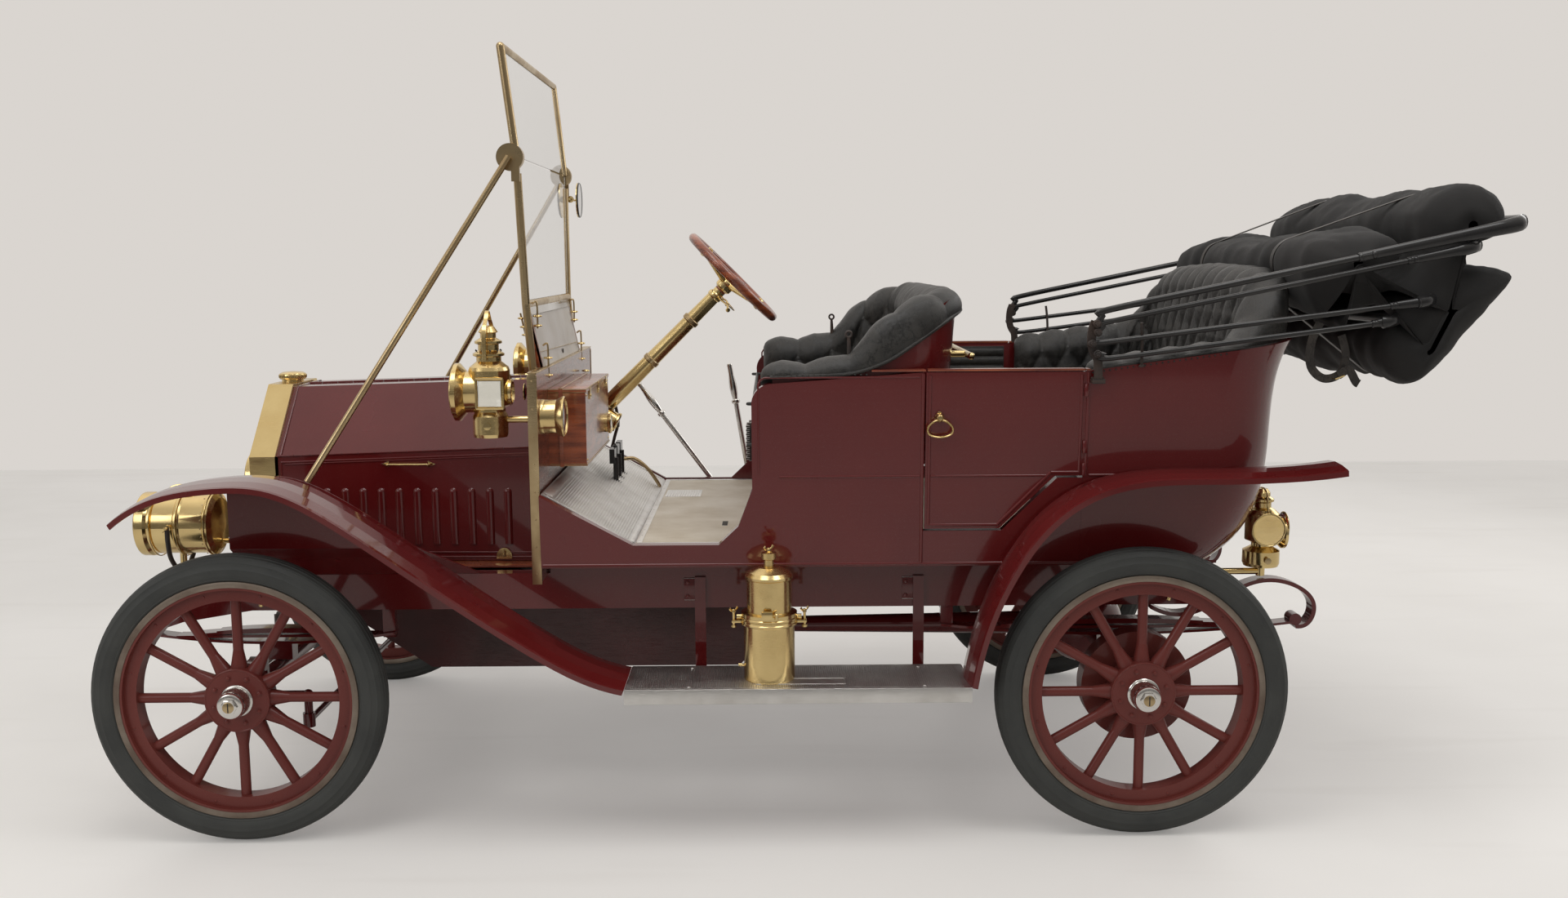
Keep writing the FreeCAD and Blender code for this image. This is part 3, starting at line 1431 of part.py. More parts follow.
def front_apron(line, side):
    """The splash shield between frame and fender, kinked to clear wheel and bonnet side."""
    sheet_side = float(d.apron_sheet)
    inner = float(d.fender_inner)
    frame_y = float(d.rail_half + d.rail_flange / 2)
    kink = float(d.level_apron_kink)
    top = max(p.z for p in line)
    low = float(d.level_rail_top + d.seat_gap)
    lip = float(d.apron_lip)
    pairs = ((inner, top), (inner, kink), (frame_y, low), (frame_y - lip, low),
             (frame_y - lip, low + sheet_side), (frame_y - sheet_side, low + sheet_side),
             (inner - sheet_side, kink + sheet_side), (inner - sheet_side, top))
    start = float(at(d.station_rail_front))
    shield = prism([Vector(start, side * y, z) for y, z in pairs], vector(d.dash_station, 0, 0))
    shield = shield.common(under_line(line, ZERO, d.fender_outer))
    return shield


def rear_apron(line, side):
    """The shield that closes the rear fender against the body's flared side."""
    inner = float(d.rear_fender_inner)
    sheet_side = float(d.apron_sheet)
    reach = d.fender_outer
    lower = [p - vector(0, 0, d.fender_bead * 4) for p in line]
    band = Part.makeBox(float(d.wheelbase), sheet_side, float(d.level_body_top),
                        vector(at(d.board_rear), inner if side > 0 else -inner - sheet_side, 0))
    return band.common(under_line(line, ZERO, reach)).cut(under_line(lower, ZERO, reach))


def make_boards():
    boards = []
    for side, word in SIDES:
        low = d.fender_inner * side if side > 0 else -d.fender_inner - (d.fender_outer - d.fender_inner)
        board = block(f"board_plate_{word}", at(d.board_front + d.board_gap), low,
                      d.level_board - d.board_thickness, d.board_rear - d.board_front - d.board_gap * 2,
                      d.fender_outer - d.fender_inner, d.board_thickness)
        irons = [board]
        stations = (d.board_front + d.board_post_front, d.board_rear - d.board_post_rear)
        for index, station in enumerate(stations):
            inner = d.rail_half + d.rail_flange / 2
            y = d.rail_half * side
            irons.append(block(f"board_post_{word}_{index}", at(station),
                               inner * side if side > 0 else -inner - d.iron,
                               d.level_board - d.board_thickness - d.iron, d.strip_width, d.iron,
                               d.level_rail_top - d.level_board + d.board_thickness))
            reach = d.fender_inner + (d.fender_outer - d.fender_inner) / 2 - inner
            irons.append(block(f"board_arm_{word}_{index}", at(station),
                               inner if side > 0 else -inner - reach,
                               d.level_board - d.board_thickness - d.iron, d.strip_width, reach, d.iron))
        boards.append(fuse(f"running_board_{word}", irons))
    keep("running_boards", group("running_boards", boards))


HEADLAMP_SHARES = ((0.0, 0.07), (0.86, 0.07), (0.88, 0.0), (1.0, 0.0), (1.0, 0.1), (0.93, 0.14),
                   (0.93, 0.48), (0.97, 0.5), (0.97, 0.55), (0.93, 0.57), (0.93, 0.87), (0.98, 0.89),
                   (0.98, 0.94), (0.8, 0.98), (0.3, 1.0), (0.0, 1.0))
SIDELAMP_SHARES = ((0.0, 0.0), (0.82, 0.0), (0.86, 0.03), (0.86, 0.19), (0.74, 0.23), (0.74, 0.26),
                   (1.0, 0.29), (1.0, 0.6), (0.94, 0.63), (0.6, 0.68), (0.6, 0.72), (0.76, 0.73),
                   (0.76, 0.75), (0.5, 0.78), (0.5, 0.83), (0.66, 0.84), (0.66, 0.86), (0.38, 0.89),
                   (0.38, 0.93), (0.48, 0.94), (0.3, 0.99), (0.0, 1.0))
BEZEL_SHARES = ((0.0, 0.1), (0.78, 0.1), (0.84, 0.0), (1.0, 0.02), (1.0, 0.14), (0.72, 0.34), (0.68, 1.0),
                (0.0, 1.0))
TAIL_SHARES = ((0.0, 0.0), (0.86, 0.0), (0.92, 0.04), (0.92, 0.2), (0.5, 0.26), (0.5, 0.3), (0.84, 0.34),
               (0.84, 0.68), (0.62, 0.73), (0.42, 0.76), (0.42, 0.82), (0.55, 0.84), (0.55, 0.87),
               (0.36, 0.9), (0.36, 0.95), (0.22, 1.0), (0.0, 1.0))
GENERATOR_SHARES = ((0.0, 0.0), (0.97, 0.0), (1.0, 0.02), (1.0, 0.48), (1.1, 0.49), (1.1, 0.53),
                    (1.02, 0.535), (1.1, 0.54), (1.1, 0.58), (0.88, 0.59), (0.88, 0.86), (0.94, 0.87),
                    (0.94, 0.89),
                    (0.82, 0.92), (0.45, 0.96), (0.2, 0.97), (0.2, 1.02), (0.3, 1.03), (0.3, 1.08),
                    (0.0, 1.1))


def lathe(name, radius, length, shares, x, y, z, direction):
    """A turned piece: its outline in shares of a radius and of a length, from first end to last."""
    corners = [(radius * out, length * along) for out, along in shares]
    body = turned_body(name, "XY_Plane", "V_Axis", corners)
    return place(body, x, y, z, Rotation(Vector(0, 1, 0), Vector(*direction)))


def make_headlamps():
    heads = []
    for side, word in SIDES:
        y = d.headlamp_half * side
        drum = lathe(f"headlamp_drum_{word}", d.headlamp_radius, d.headlamp_length, HEADLAMP_SHARES,
                     at(d.headlamp_front), y, d.level_headlamp, (1, 0, 0))
        foot = d.level_rail_bottom - d.horn_drop + d.headlamp_post_rise
        post = rod(f"headlamp_post_{word}", d.stay_radius, d.level_headlamp - foot,
                   at(d.station_rail_front - d.headlamp_post_reach), y, foot, (0, 0, 1))
        heads.append(fuse(f"headlamp_{word}", [drum, post]))
    keep("headlamps", group("headlamps", heads))


def make_sidelamps():
    lamps = []
    for side, word in SIDES:
        x, y = at(d.sidelamp_station), d.sidelamp_half * side
        body = lathe(f"sidelamp_body_{word}", d.sidelamp_radius, d.sidelamp_height, SIDELAMP_SHARES,
                     x, y, d.level_sidelamp - d.sidelamp_drop, (0, 0, 1))
        bezel = lathe(f"sidelamp_bezel_{word}", d.sidelamp_bezel, d.sidelamp_reach, BEZEL_SHARES,
                      at(d.sidelamp_station - d.sidelamp_reach), y, d.level_sidelamp, (1, 0, 0))
        back = lathe(f"sidelamp_back_{word}", d.sidelamp_back, d.sidelamp_back_reach, BEZEL_SHARES,
                     at(d.sidelamp_station + d.sidelamp_back_reach), y, d.level_sidelamp, (-1, 0, 0))
        arm = rod(f"sidelamp_arm_{word}", d.stay_radius, d.dash_station - d.seat_gap - d.sidelamp_station,
                  x, y, d.level_sidelamp - d.sidelamp_arm_drop, (1, 0, 0))
        lamps.append(fuse(f"sidelamp_{word}", [body, bezel, back, arm]))
    keep("sidelamps", group("sidelamps", lamps))


def make_tail_lamp():
    x, y = at(d.tail_station), -d.tail_half
    arm_level = d.level_rail_top - d.tail_arm_drop
    body = lathe("tail_body", d.tail_radius, d.tail_height, TAIL_SHARES, x, y, d.level_tail - d.tail_drop,
                 (0, 0, 1))
    lens = lathe("tail_lens", d.tail_lens, d.tail_reach, BEZEL_SHARES, at(d.tail_station + d.tail_reach), y,
                 d.level_tail, (-1, 0, 0))
    arm = rod("tail_arm", d.stay_radius, d.tail_station - d.station_rail_rear - d.seat_gap, x, y, arm_level,
              (-1, 0, 0))
    post = rod("tail_post", d.tail_post_radius, d.tail_post_length, x, y, arm_level - d.tail_post_radius,
               (0, 0, 1))
    keep("tail_lamp", fuse("tail_lamp", [body, lens, arm, post]))


def make_generator():
    can = lathe("generator_can", d.generator_radius, d.generator_height, GENERATOR_SHARES,
                at(d.generator_station), -d.generator_half, d.level_board, (0, 0, 1))
    pins = rod("generator_clamp", d.generator_pin, d.generator_pin_reach * 2,
               at(d.generator_station - d.generator_pin_reach), -d.generator_half,
               d.level_board + d.generator_pin_rise, (1, 0, 0))
    keep("generator", fuse("generator", [can, pins]))


def make_lamps():
    make_headlamps()
    make_sidelamps()
    make_tail_lamp()
    make_generator()


def make_controls():
    crank_level = d.level_front_spring
    run = d.level_rail_bottom - d.seat_gap - d.cross_depth - d.level_pan_bottom
    depth = d.pan_half * ((d.level_rail_bottom - d.seat_gap - d.cross_depth - crank_level) / run)
    crank = [
        rod("crank_shaft", d.stay_radius, d.crank_reach + d.pan_front + depth - d.crank_inset,
            at(d.pan_front + depth - d.crank_inset), ZERO, crank_level, (-1, 0, 0)),
        rod("crank_arm", d.stay_radius, d.crank_throw, at(-d.crank_reach), ZERO, crank_level, (0, 0, -1)),
    ]
    grip = rod("crank_grip", d.ball_radius, d.crank_grip_length, at(-d.crank_grip_start), ZERO,
               crank_level - d.crank_throw, (-1, 0, 0))
    keep("starting_crank", fuse("starting_crank", crank + [grip]))
    shaft_level = (d.level_rail_bottom + d.level_rail_top) / 2
    reach = d.rail_half + d.rail_flange / 2 - d.rail_wall - d.seat_gap
    pedals = [rod("pedal_shaft", d.tie_radius, reach * 2, at(pedal_station()), -reach, shaft_level,
                  (0, 1, 0))]
    for word, y in pedal_places():
        pedals.append(rod(f"pedal_{word}", d.pedal_arm_radius, d.level_toe_top - shaft_level,
                          at(pedal_station()), y, shaft_level, (0, 0, 1)))
        pedals.append(block(f"pedal_pad_{word}", at(pedal_station() - d.pedal_pad_thickness),
                            y - d.pedal_pad_half, d.level_toe_top - d.pedal_pad_thickness,
                            d.pedal_pad_thickness, d.pedal_pad_half * 2, d.pedal_pad_height))
    keep("pedals", fuse("pedals", pedals))
    levers = []
    outer = d.lever_half
    lever_shares = (("brake", 0.65, -0.165), ("gear", 0.2, -0.735))
    for word, share, lean in lever_shares:
        levers.append(rod(f"lever_{word}", d.stay_radius, d.level_body_top - d.level_body_bottom,
                          at(d.quadrant_station + d.arm_reach * share), outer,
                          d.level_rail_top - d.strip_width, (lean, 0, 1)))
    inner = d.rail_half + d.rail_flange / 2 + d.seat_gap
    foot = block("lever_quadrant", at(d.quadrant_station), inner, d.level_rail_bottom + d.strip_width,
                 d.arm_reach, outer - inner + d.stay_radius, d.level_rail_top - d.level_rail_bottom
                 - d.strip_width)
    keep("hand_levers", fuse("hand_levers", levers + [foot]))
    level = d.level_mirror
    mirror_y = d.mirror_half
    behind = at(d.station_screen_pivot + d.screen_set + d.mirror_arm_back)
    disc = rod("mirror_disc", d.mirror_radius, d.mirror_thickness, behind + d.screen_set, mirror_y, level,
               (1, 0, 0))
    start = d.screen_half_pivot - d.bonnet_gap
    arm = rod("mirror_arm", d.mirror_arm_radius, mirror_y - start + d.bonnet_gap, behind, start, level,
              (0, 1, 0))
    tip = rod("mirror_tip", d.mirror_tip_radius, d.screen_set, behind, mirror_y, level, (1, 0, 0))
    keep("mirror", fuse("mirror", [disc, arm, tip]))


def make_top():
    pivot_x, pivot_z = d.station_bow_pivot, d.level_bow_pivot
    reach, rise = d.bow_reach, d.bow_reach
    shares = (((0.024, 0.052), (1.0, 0.268)), ((0.024, 0.045), (0.9, 0.215)),
              ((0.0, -0.005), (0.8, 0.09)), ((0.03, -0.03), (0.72, 0.045)))
    parts = []
    depth, width, half = float(d.bow_depth), float(d.bow_width), float(d.bow_half)
    for index, (start, end) in enumerate(shares):
        first = vector(at(pivot_x + reach * start[0]), 0, pivot_z + rise * start[1])
        last = vector(at(pivot_x + reach * end[0]), 0, pivot_z + rise * end[1])
        along = (last - first).normalize()
        up = Vector(-along.z, 0, along.x) * depth / 2
        outline = [first - up, last - up, last + up, first + up]
        for side in (LEFT, RIGHT):
            leg = prism([p + Vector(0, side * half - width / 2, 0) for p in outline], Vector(0, width, 0))
            parts.append(leg)
        cross = [last - up, last + up, last + up - along * depth, last - up - along * depth]
        parts.append(prism([p - Vector(0, half, 0) for p in cross], Vector(0, half * 2, 0)))
    for side in (LEFT, RIGHT):
        centre = vector(at(pivot_x + d.bow_depth), side * half - width / 2, pivot_z)
        hub = Part.makeCylinder(float(d.bow_hub_radius), width, centre, Vector(0, 1, 0))
        parts.append(hub)
        low = pivot_z - d.bow_post_length
        post = Part.makeBox(depth, width, float(d.bow_post_length),
                            vector(at(pivot_x + d.bow_depth / 2), side * half - width / 2, low))
        seat = d.body_half_high + d.seat_gap
        foot = d.bow_half + d.bow_width / 2 - seat
        base = Part.makeBox(depth, float(foot), depth, vector(
            at(pivot_x + d.bow_depth / 2), seat if side > 0 else -seat - foot, low))
        parts += [post, base]
    keep("top_bows", feature("top_bows", parts[0].multiFuse(parts[1:])))
    cloth_shares = ((0.5, 0.17), (0.52, 0.225), (0.68, 0.24), (0.8, 0.33), (0.95, 0.37), (0.99, 0.3),
                    (0.985, 0.08), (0.76, -0.1), (0.7, -0.03), (0.6, 0.02))
    points = [vector(at(pivot_x + reach * along), 0, pivot_z + rise * up) for along, up in cloth_shares]
    inner = d.bow_half - d.bow_width / 2 - d.bonnet_sheet
    cloth = prism([p - vector(0, inner, 0) for p in points], vector(0, inner * 2, 0))
    doc.recompute()
    for name in ("top_bows", "rear_back_pad", "rear_tub"):
        cloth = cloth.cut(NODES[name].Shape)
    keep("top_cloth", feature("top_cloth", cloth))


def check_all():
    doc.recompute()
    for item in doc.Objects:
        if "Invalid" in item.State or "Error" in item.State:
            raise RuntimeError(f"{item.Name} failed: {item.State}")
    for name, item in NODES.items():
        if item.Shape.isNull() or not item.Shape.isValid():
            raise RuntimeError(f"{name} has no valid shape")


def export_all():
    os.makedirs("parts", exist_ok=True)
    for name, item in NODES.items():
        item.Shape.exportStep(f"parts/{name}.step")
        print(name, len(item.Shape.Solids), "solid(s)", round(item.Shape.Volume / 1e6, 3), "l")


make_wheels()
make_front_axle()
for side, word in SIDES:
    make_knuckle(side, word)
make_tie_rod()
make_drag_linkage()
make_frame()
make_springs()
make_rear_axle()
make_engine()
make_radiator()
make_bonnet()
make_dash()
make_column()
make_screen()
make_front_body()
make_doors()
make_floor()
make_seats()
make_fenders()
make_boards()
make_lamps()
make_controls()
make_top()
check_all()
export_all()
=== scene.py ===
# %% [markdown]
# # An open touring car of about 1910
# The real car is a wood and sheet-metal body on a pressed steel frame, with brass lamps, wooden wheels, buttoned
# leather and a folded cloth top. Every rigid shape comes from the imported CAD frame, so this lesson only adds what
# CAD leaves out: finishes, small fittings, padding and cloth. The first step loads the frame. Nothing that is added
# may make the car bigger.

import math

import bmesh
import bpy
from mathutils import Matrix, Vector, noise


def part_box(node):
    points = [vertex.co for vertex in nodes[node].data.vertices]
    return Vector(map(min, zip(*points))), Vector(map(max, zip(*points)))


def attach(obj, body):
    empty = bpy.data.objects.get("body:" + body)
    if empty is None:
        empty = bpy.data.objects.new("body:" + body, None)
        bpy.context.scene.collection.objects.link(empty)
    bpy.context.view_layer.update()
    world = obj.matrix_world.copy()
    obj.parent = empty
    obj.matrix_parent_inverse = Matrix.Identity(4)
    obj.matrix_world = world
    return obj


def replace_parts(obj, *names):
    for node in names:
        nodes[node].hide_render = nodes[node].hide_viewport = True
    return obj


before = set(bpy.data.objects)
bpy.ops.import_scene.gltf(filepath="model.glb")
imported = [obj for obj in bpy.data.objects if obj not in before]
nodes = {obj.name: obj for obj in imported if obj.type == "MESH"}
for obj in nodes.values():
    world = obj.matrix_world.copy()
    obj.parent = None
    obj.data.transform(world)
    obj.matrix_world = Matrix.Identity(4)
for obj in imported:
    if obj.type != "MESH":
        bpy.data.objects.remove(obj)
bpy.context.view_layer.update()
LEFT, RIGHT = -1, 1
SIDES = (("left", LEFT), ("right", RIGHT))

# %% [markdown]
# ## Places along the car
# A coachbuilder measures from the front axle, so the same is done here. The axle's place comes from the box of a
# front wheel, and every later place is a distance behind it.

# %% Measure from the front axle
wheel_low, wheel_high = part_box("wheel_front_left")
axle_x = (wheel_low.x + wheel_high.x) / 2
axle_z = (wheel_low.z + wheel_high.z) / 2
rear_low, rear_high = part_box("wheel_rear_left")
rear_axle_x = (rear_low.x + rear_high.x) / 2


def at(distance, y=0.0, z=0.0):
    """A point a distance behind the front axle, in metres."""
    return Vector((axle_x + distance, y, z))


print("wheelbase", round(rear_axle_x - axle_x, 3))

# %% [markdown]
# ## Camera
# The photograph was taken from the car's left side, a little above the doors and 4.3 m from the middle of the
# car. The camera could be aimed at a target object, but a yaw, a pitch and a roll worked out from the wheels'
# ellipses fit the picture better, so the three axes of the camera are built from those angles.

# %% Camera at the photographer's place
focal_length = 32.64
camera_place = Vector((-0.0762, -4.2905, 1.5032))
camera_yaw, camera_pitch, camera_roll = -0.0066, 0.1336, -0.0054
ahead = Vector((-math.sin(camera_yaw) * math.cos(camera_pitch), math.cos(camera_yaw) * math.cos(camera_pitch),
                -math.sin(camera_pitch)))
across = Vector((math.cos(camera_yaw), math.sin(camera_yaw), 0))
above = across.cross(ahead)
side_axis = across * math.cos(camera_roll) + above * math.sin(camera_roll)
top_axis = above * math.cos(camera_roll) - across * math.sin(camera_roll)
camera_data = bpy.data.cameras.new("camera")
camera_data.lens = focal_length
camera_data.sensor_width = 36
camera_data.clip_end = 200
camera = bpy.data.objects.new("camera", camera_data)
camera.matrix_world = Matrix.Translation(camera_place) @ Matrix((side_axis, top_axis, -ahead)).transposed().to_4x4()
bpy.context.scene.collection.objects.link(camera)
bpy.context.scene.camera = camera
bpy.context.scene.view_settings.view_transform = "Standard"
print("camera", tuple(round(value, 3) for value in camera.location))

# %% [markdown]
# ## Building node trees
# The room and every finish are trees of shader nodes. Written out node by node they would be long and hard to
# follow, so a few helpers add a node with its inputs, do a sum, or stretch a value between two limits.

# %% Node helpers
def add_node(tree, kind, settings=None, **sockets):
    """A node of that kind; a socket is given as a plain value or as another node's output."""
    node = tree.nodes.new(kind)
    for key, value in (settings or {}).items():
        setattr(node, key, value)
    for key, value in sockets.items():
        socket = node.inputs[int(key[1:])] if key[0] == "i" and key[1:].isdigit() else node.inputs[
            key.replace("_", " ")]
        if isinstance(value, bpy.types.NodeSocket):
            tree.links.new(value, socket)
        else:
            socket.default_value = value
    return node


def sum_of(tree, operation, a, b):
    return add_node(tree, "ShaderNodeMath", {"operation": operation}, i0=a, i1=b).outputs[0]


def between(tree, value, low, high, start=0.0, end=1.0):
    return add_node(tree, "ShaderNodeMapRange", {"clamp": True}, Value=value, From_Min=low, From_Max=high,
                    To_Min=start, To_Max=end).outputs["Result"]


def noise_of(tree, scale, detail=3.0, rough=0.5, stretch=None):
    """Noise in the piece's own coordinates, which are the car's, so it stays put when the piece moves."""
    place = add_node(tree, "ShaderNodeTexCoord").outputs["Object"]
    if stretch:
        place = add_node(tree, "ShaderNodeVectorMath", {"operation": "MULTIPLY"}, i0=place, i1=stretch).outputs[0]
    return add_node(tree, "ShaderNodeTexNoise", Vector=place, Scale=scale, Detail=detail,
                    Roughness=rough).outputs["Fac"]


print("node helpers ready")

# %% [markdown]
# ## A pale room
# The car stands on a pale studio floor in front of a pale wall. A real wall would hide the car from behind, so the
# world itself is the wall: what the camera or a pane sees of it is the wall's colour, and what falls on the paint
# is a weaker, even light. Brass and varnish only look alive with something to mirror, so a mirrored ray sees a
# bright ceiling, the pale wall behind the car, and a dimmer room behind the photographer.

# %% World as wall and as soft light
room_light, wall_colour = 0.50, (0.70, 0.665, 0.63, 1)
mirrored = {"Y": (-0.35, 0.25, 0.22, 0.85), "Z": (0.10, 0.75, 0.0, 0.64)}
world = bpy.data.worlds.new("room")
bpy.context.scene.world = world
world.use_nodes = True
tree = world.node_tree
tree.nodes.clear()
rays = add_node(tree, "ShaderNodeLightPath").outputs
glossy, through = rays["Is Glossy Ray"], rays["Is Transmission Ray"]
seen = sum_of(tree, "MAXIMUM", sum_of(tree, "MAXIMUM", rays["Is Camera Ray"], glossy), through)
only_mirrored = add_node(tree, "ShaderNodeMath", {"operation": "SUBTRACT", "use_clamp": True}, i0=glossy, i1=through)
way_out = add_node(tree, "ShaderNodeSeparateXYZ",
                   i0=add_node(tree, "ShaderNodeTexCoord").outputs["Generated"]).outputs
behind, overhead = (between(tree, way_out[letter], *ramp) for letter, ramp in mirrored.items())
strength = add_node(tree, "ShaderNodeMix", Factor=only_mirrored.outputs[0], A=1.0,
                    B=sum_of(tree, "ADD", behind, overhead)).outputs["Result"]
soft_light = add_node(tree, "ShaderNodeBackground", Color=(1.0, 0.985, 0.965, 1), Strength=room_light)
wall = add_node(tree, "ShaderNodeBackground", Color=wall_colour, Strength=strength)
which = add_node(tree, "ShaderNodeMixShader", Fac=seen, i1=soft_light.outputs[0], i2=wall.outputs[0])
add_node(tree, "ShaderNodeOutputWorld", Surface=which.outputs[0])
print("room light", room_light)


# %% Soft boxes
def soft_box(name, place, target, size, power):
    lamp = bpy.data.lights.new(name, "AREA")
    lamp.shape = "RECTANGLE"
    lamp.size, lamp.size_y = size
    lamp.energy = power
    box = bpy.data.objects.new(name, lamp)
    box.location = place
    box.rotation_euler = (Vector(target) - Vector(place)).to_track_quat("-Z", "Y").to_euler()
    bpy.context.scene.collection.objects.link(box)


soft_box("ceiling_light_front", (-1.0, -1.5, 4.4), (-0.6, 0, 0.6), (1.5, 2.4), 36)
soft_box("ceiling_light_rear", (1.7, -1.5, 4.4), (1.1, 0, 0.6), (1.5, 2.4), 36)
soft_box("front_light", (-4.2, -3.4, 2.7), (-0.6, 0, 0.7), (2.4, 1.8), 30)
soft_box("rear_light", (4.6, 2.6, 3.2), (0.6, 0, 0.8), (2.6, 1.8), 30)
print("lights", [lamp.name for lamp in bpy.data.lights])

# %% [markdown]
# ## Node groups that several finishes share
# Paint, brass and leather all carry the same sort of story: broad clouds where a rag has been, fine specks of dust
# and fine scratches. One node group holds each such effect, and a finish sets its own scale and strength. The
# groups give only masks and heights, and each material keeps its own shader.

# %% A node group from a list of sockets
def new_group(name, inputs, outputs):
    group = bpy.data.node_groups.new(name, "ShaderNodeTree")
    for label, value in inputs:
        socket = group.interface.new_socket(label, in_out="INPUT", socket_type="NodeSocketFloat")
        socket.default_value = value
    for label in outputs:
        group.interface.new_socket(label, in_out="OUTPUT", socket_type="NodeSocketFloat")
    return group, group.nodes.new("NodeGroupInput"), group.nodes.new("NodeGroupOutput")


print("group helper ready")

# %% Clouds, specks and scratches
story, story_in, story_out = new_group(
    "rag_marks", [("Cloud Scale", 6.0), ("Speck Scale", 700.0), ("Scratch Scale", 90.0)],
    ["Cloud", "Speck", "Scratch"])
cloud = noise_of(story, story_in.outputs["Cloud Scale"], 4.0, 0.55)
story.links.new(between(story, cloud, 0.32, 0.68), story_out.inputs["Cloud"])
speck = noise_of(story, story_in.outputs["Speck Scale"], 1.0, 0.5)
story.links.new(between(story, speck, 0.63, 0.74), story_out.inputs["Speck"])
scratch = noise_of(story, story_in.outputs["Scratch Scale"], 2.0, 0.6, (0.25, 2.0, 9.0))
story.links.new(between(story, scratch, 0.58, 0.70), story_out.inputs["Scratch"])
print("group", story.name)

# %% Leather pores and creases
hide, hide_in, hide_out = new_group("hide_grain", [("Pore Scale", 420.0), ("Crease Scale", 34.0)],
                                    ["Height", "Crease"])
hide_place = add_node(hide, "ShaderNodeTexCoord").outputs["Object"]
pores = add_node(hide, "ShaderNodeTexVoronoi", {"feature": "DISTANCE_TO_EDGE"}, Vector=hide_place,
                 Scale=hide_in.outputs["Pore Scale"]).outputs["Distance"]
pore_height = between(hide, pores, 0.0, 0.18)
crease_noise = noise_of(hide, hide_in.outputs["Crease Scale"], 5.0, 0.62)
crease = between(hide, sum_of(hide, "ABSOLUTE", sum_of(hide, "SUBTRACT", crease_noise, 0.5), 0.0), 0.0, 0.035)
hide.links.new(sum_of(hide, "MULTIPLY", pore_height, crease), hide_out.inputs["Height"])
hide.links.new(crease, hide_out.inputs["Crease"])
print("group", hide.name)

# %% Threads of a woven cloth
weave, weave_in, weave_out = new_group("thread_weave", [("Threads", 900.0)], ["Height"])
weave_place = add_node(weave, "ShaderNodeTexCoord").outputs["Object"]
thread_heights = []
for direction in ((1.0, 0.35, 0.0), (0.0, 0.55, 1.0)):
    along = add_node(weave, "ShaderNodeVectorMath", {"operation": "DOT_PRODUCT"}, i0=weave_place,
                     i1=direction).outputs["Value"]
    turns = sum_of(weave, "MULTIPLY", along, weave_in.outputs["Threads"])
    thread_heights.append(add_node(weave, "ShaderNodeMath", {"operation": "SINE"}, i0=turns).outputs[0])
weave.links.new(sum_of(weave, "MULTIPLY", thread_heights[0], thread_heights[1]), weave_out.inputs["Height"])
print("group", weave.name)

# %% [markdown]
# ## The finishes
# A finish is a Principled shader whose colour is mixed from two or three tones by the shared masks, with its
# roughness and its bump from the same masks, so that dust, wear and grain agree with each other. One helper
# makes the shader, mixes the tones and adds the bump; each finish below only says what is special about it.

# %% One finish from tones and masks
finishes = {}


def tone_mix(tree, mask, first, second):
    mix = add_node(tree, "ShaderNodeMix", {"data_type": "RGBA"})
    for socket, value in ((mix.inputs[0], mask), (mix.inputs[6], first), (mix.inputs[7], second)):
        if isinstance(value, bpy.types.NodeSocket):
            tree.links.new(value, socket)
        else:
            socket.default_value = value if isinstance(value, float) else (*value, 1)
    return mix.outputs[2]


def new_finish(name, **shader):
    """A material with an empty Principled shader, its uniform numbers set on the shader's own sockets."""
    material = bpy.data.materials.new(name)
    material.use_nodes = True
    tree = material.node_tree
    surface = tree.nodes["Principled BSDF"]
    for key, value in shader.items():
        surface.inputs[key.replace("_", " ")].default_value = value
    finishes[name] = material
    return tree, surface


def masks_of(tree, group, **sockets):
    node = tree.nodes.new("ShaderNodeGroup")
    node.node_tree = group
    for key, value in sockets.items():
        node.inputs[key.replace("_", " ")].default_value = value
    return node.outputs


def raise_bump(tree, surface, height, strength, distance):
    bump = add_node(tree, "ShaderNodeBump", Strength=strength, Distance=distance, Height=height)
    tree.links.new(bump.outputs["Normal"], surface.inputs["Normal"])


print("finish helpers ready")


# %% [markdown]
# ### Paint, brass and other metals
# The coach paint is many rubbed coats of maroon under varnish: deep, glossy and slightly wavy, with a film of
# dust. Brass is polished where a rag reaches and goes brown between. Each metal is one function with its own
# tones, because brass, nickel and aluminium differ only in tone and in how they are rubbed.

# %% Coach paint
def paint_finish(name, deep, worn, gloss=0.16, varnish=0.9):
    tree, surface = new_finish(name, Coat_Weight=varnish, Coat_Roughness=0.06, Specular_IOR_Level=0.2)
    marks = masks_of(tree, story, Cloud_Scale=2.6, Speck_Scale=900.0, Scratch_Scale=60.0)
    tone = tone_mix(tree, sum_of(tree, "MULTIPLY", marks["Cloud"], 0.6), deep, worn)
    dusty = tone_mix(tree, sum_of(tree, "MULTIPLY", marks["Speck"], 0.10), tone, (0.42, 0.36, 0.30))
    tree.links.new(dusty, surface.inputs["Base Color"])
    tree.links.new(between(tree, marks["Cloud"], 0.0, 1.0, gloss, gloss + 0.16), surface.inputs["Roughness"])
    ripple = noise_of(tree, 26.0, 2.0)
    raise_bump(tree, surface, sum_of(tree, "ADD", ripple, sum_of(tree, "MULTIPLY", marks["Scratch"], 0.04)),
               0.10, 0.004)


paint_finish("maroon_paint", (0.098, 0.0055, 0.0065), (0.140, 0.012, 0.011))
paint_finish("wheel_paint", (0.125, 0.022, 0.018), (0.190, 0.045, 0.035), gloss=0.34, varnish=0.25)
paint_finish("black_lacquer", (0.010, 0.010, 0.011), (0.040, 0.038, 0.036), gloss=0.24, varnish=0.5)
print("paint", list(finishes))


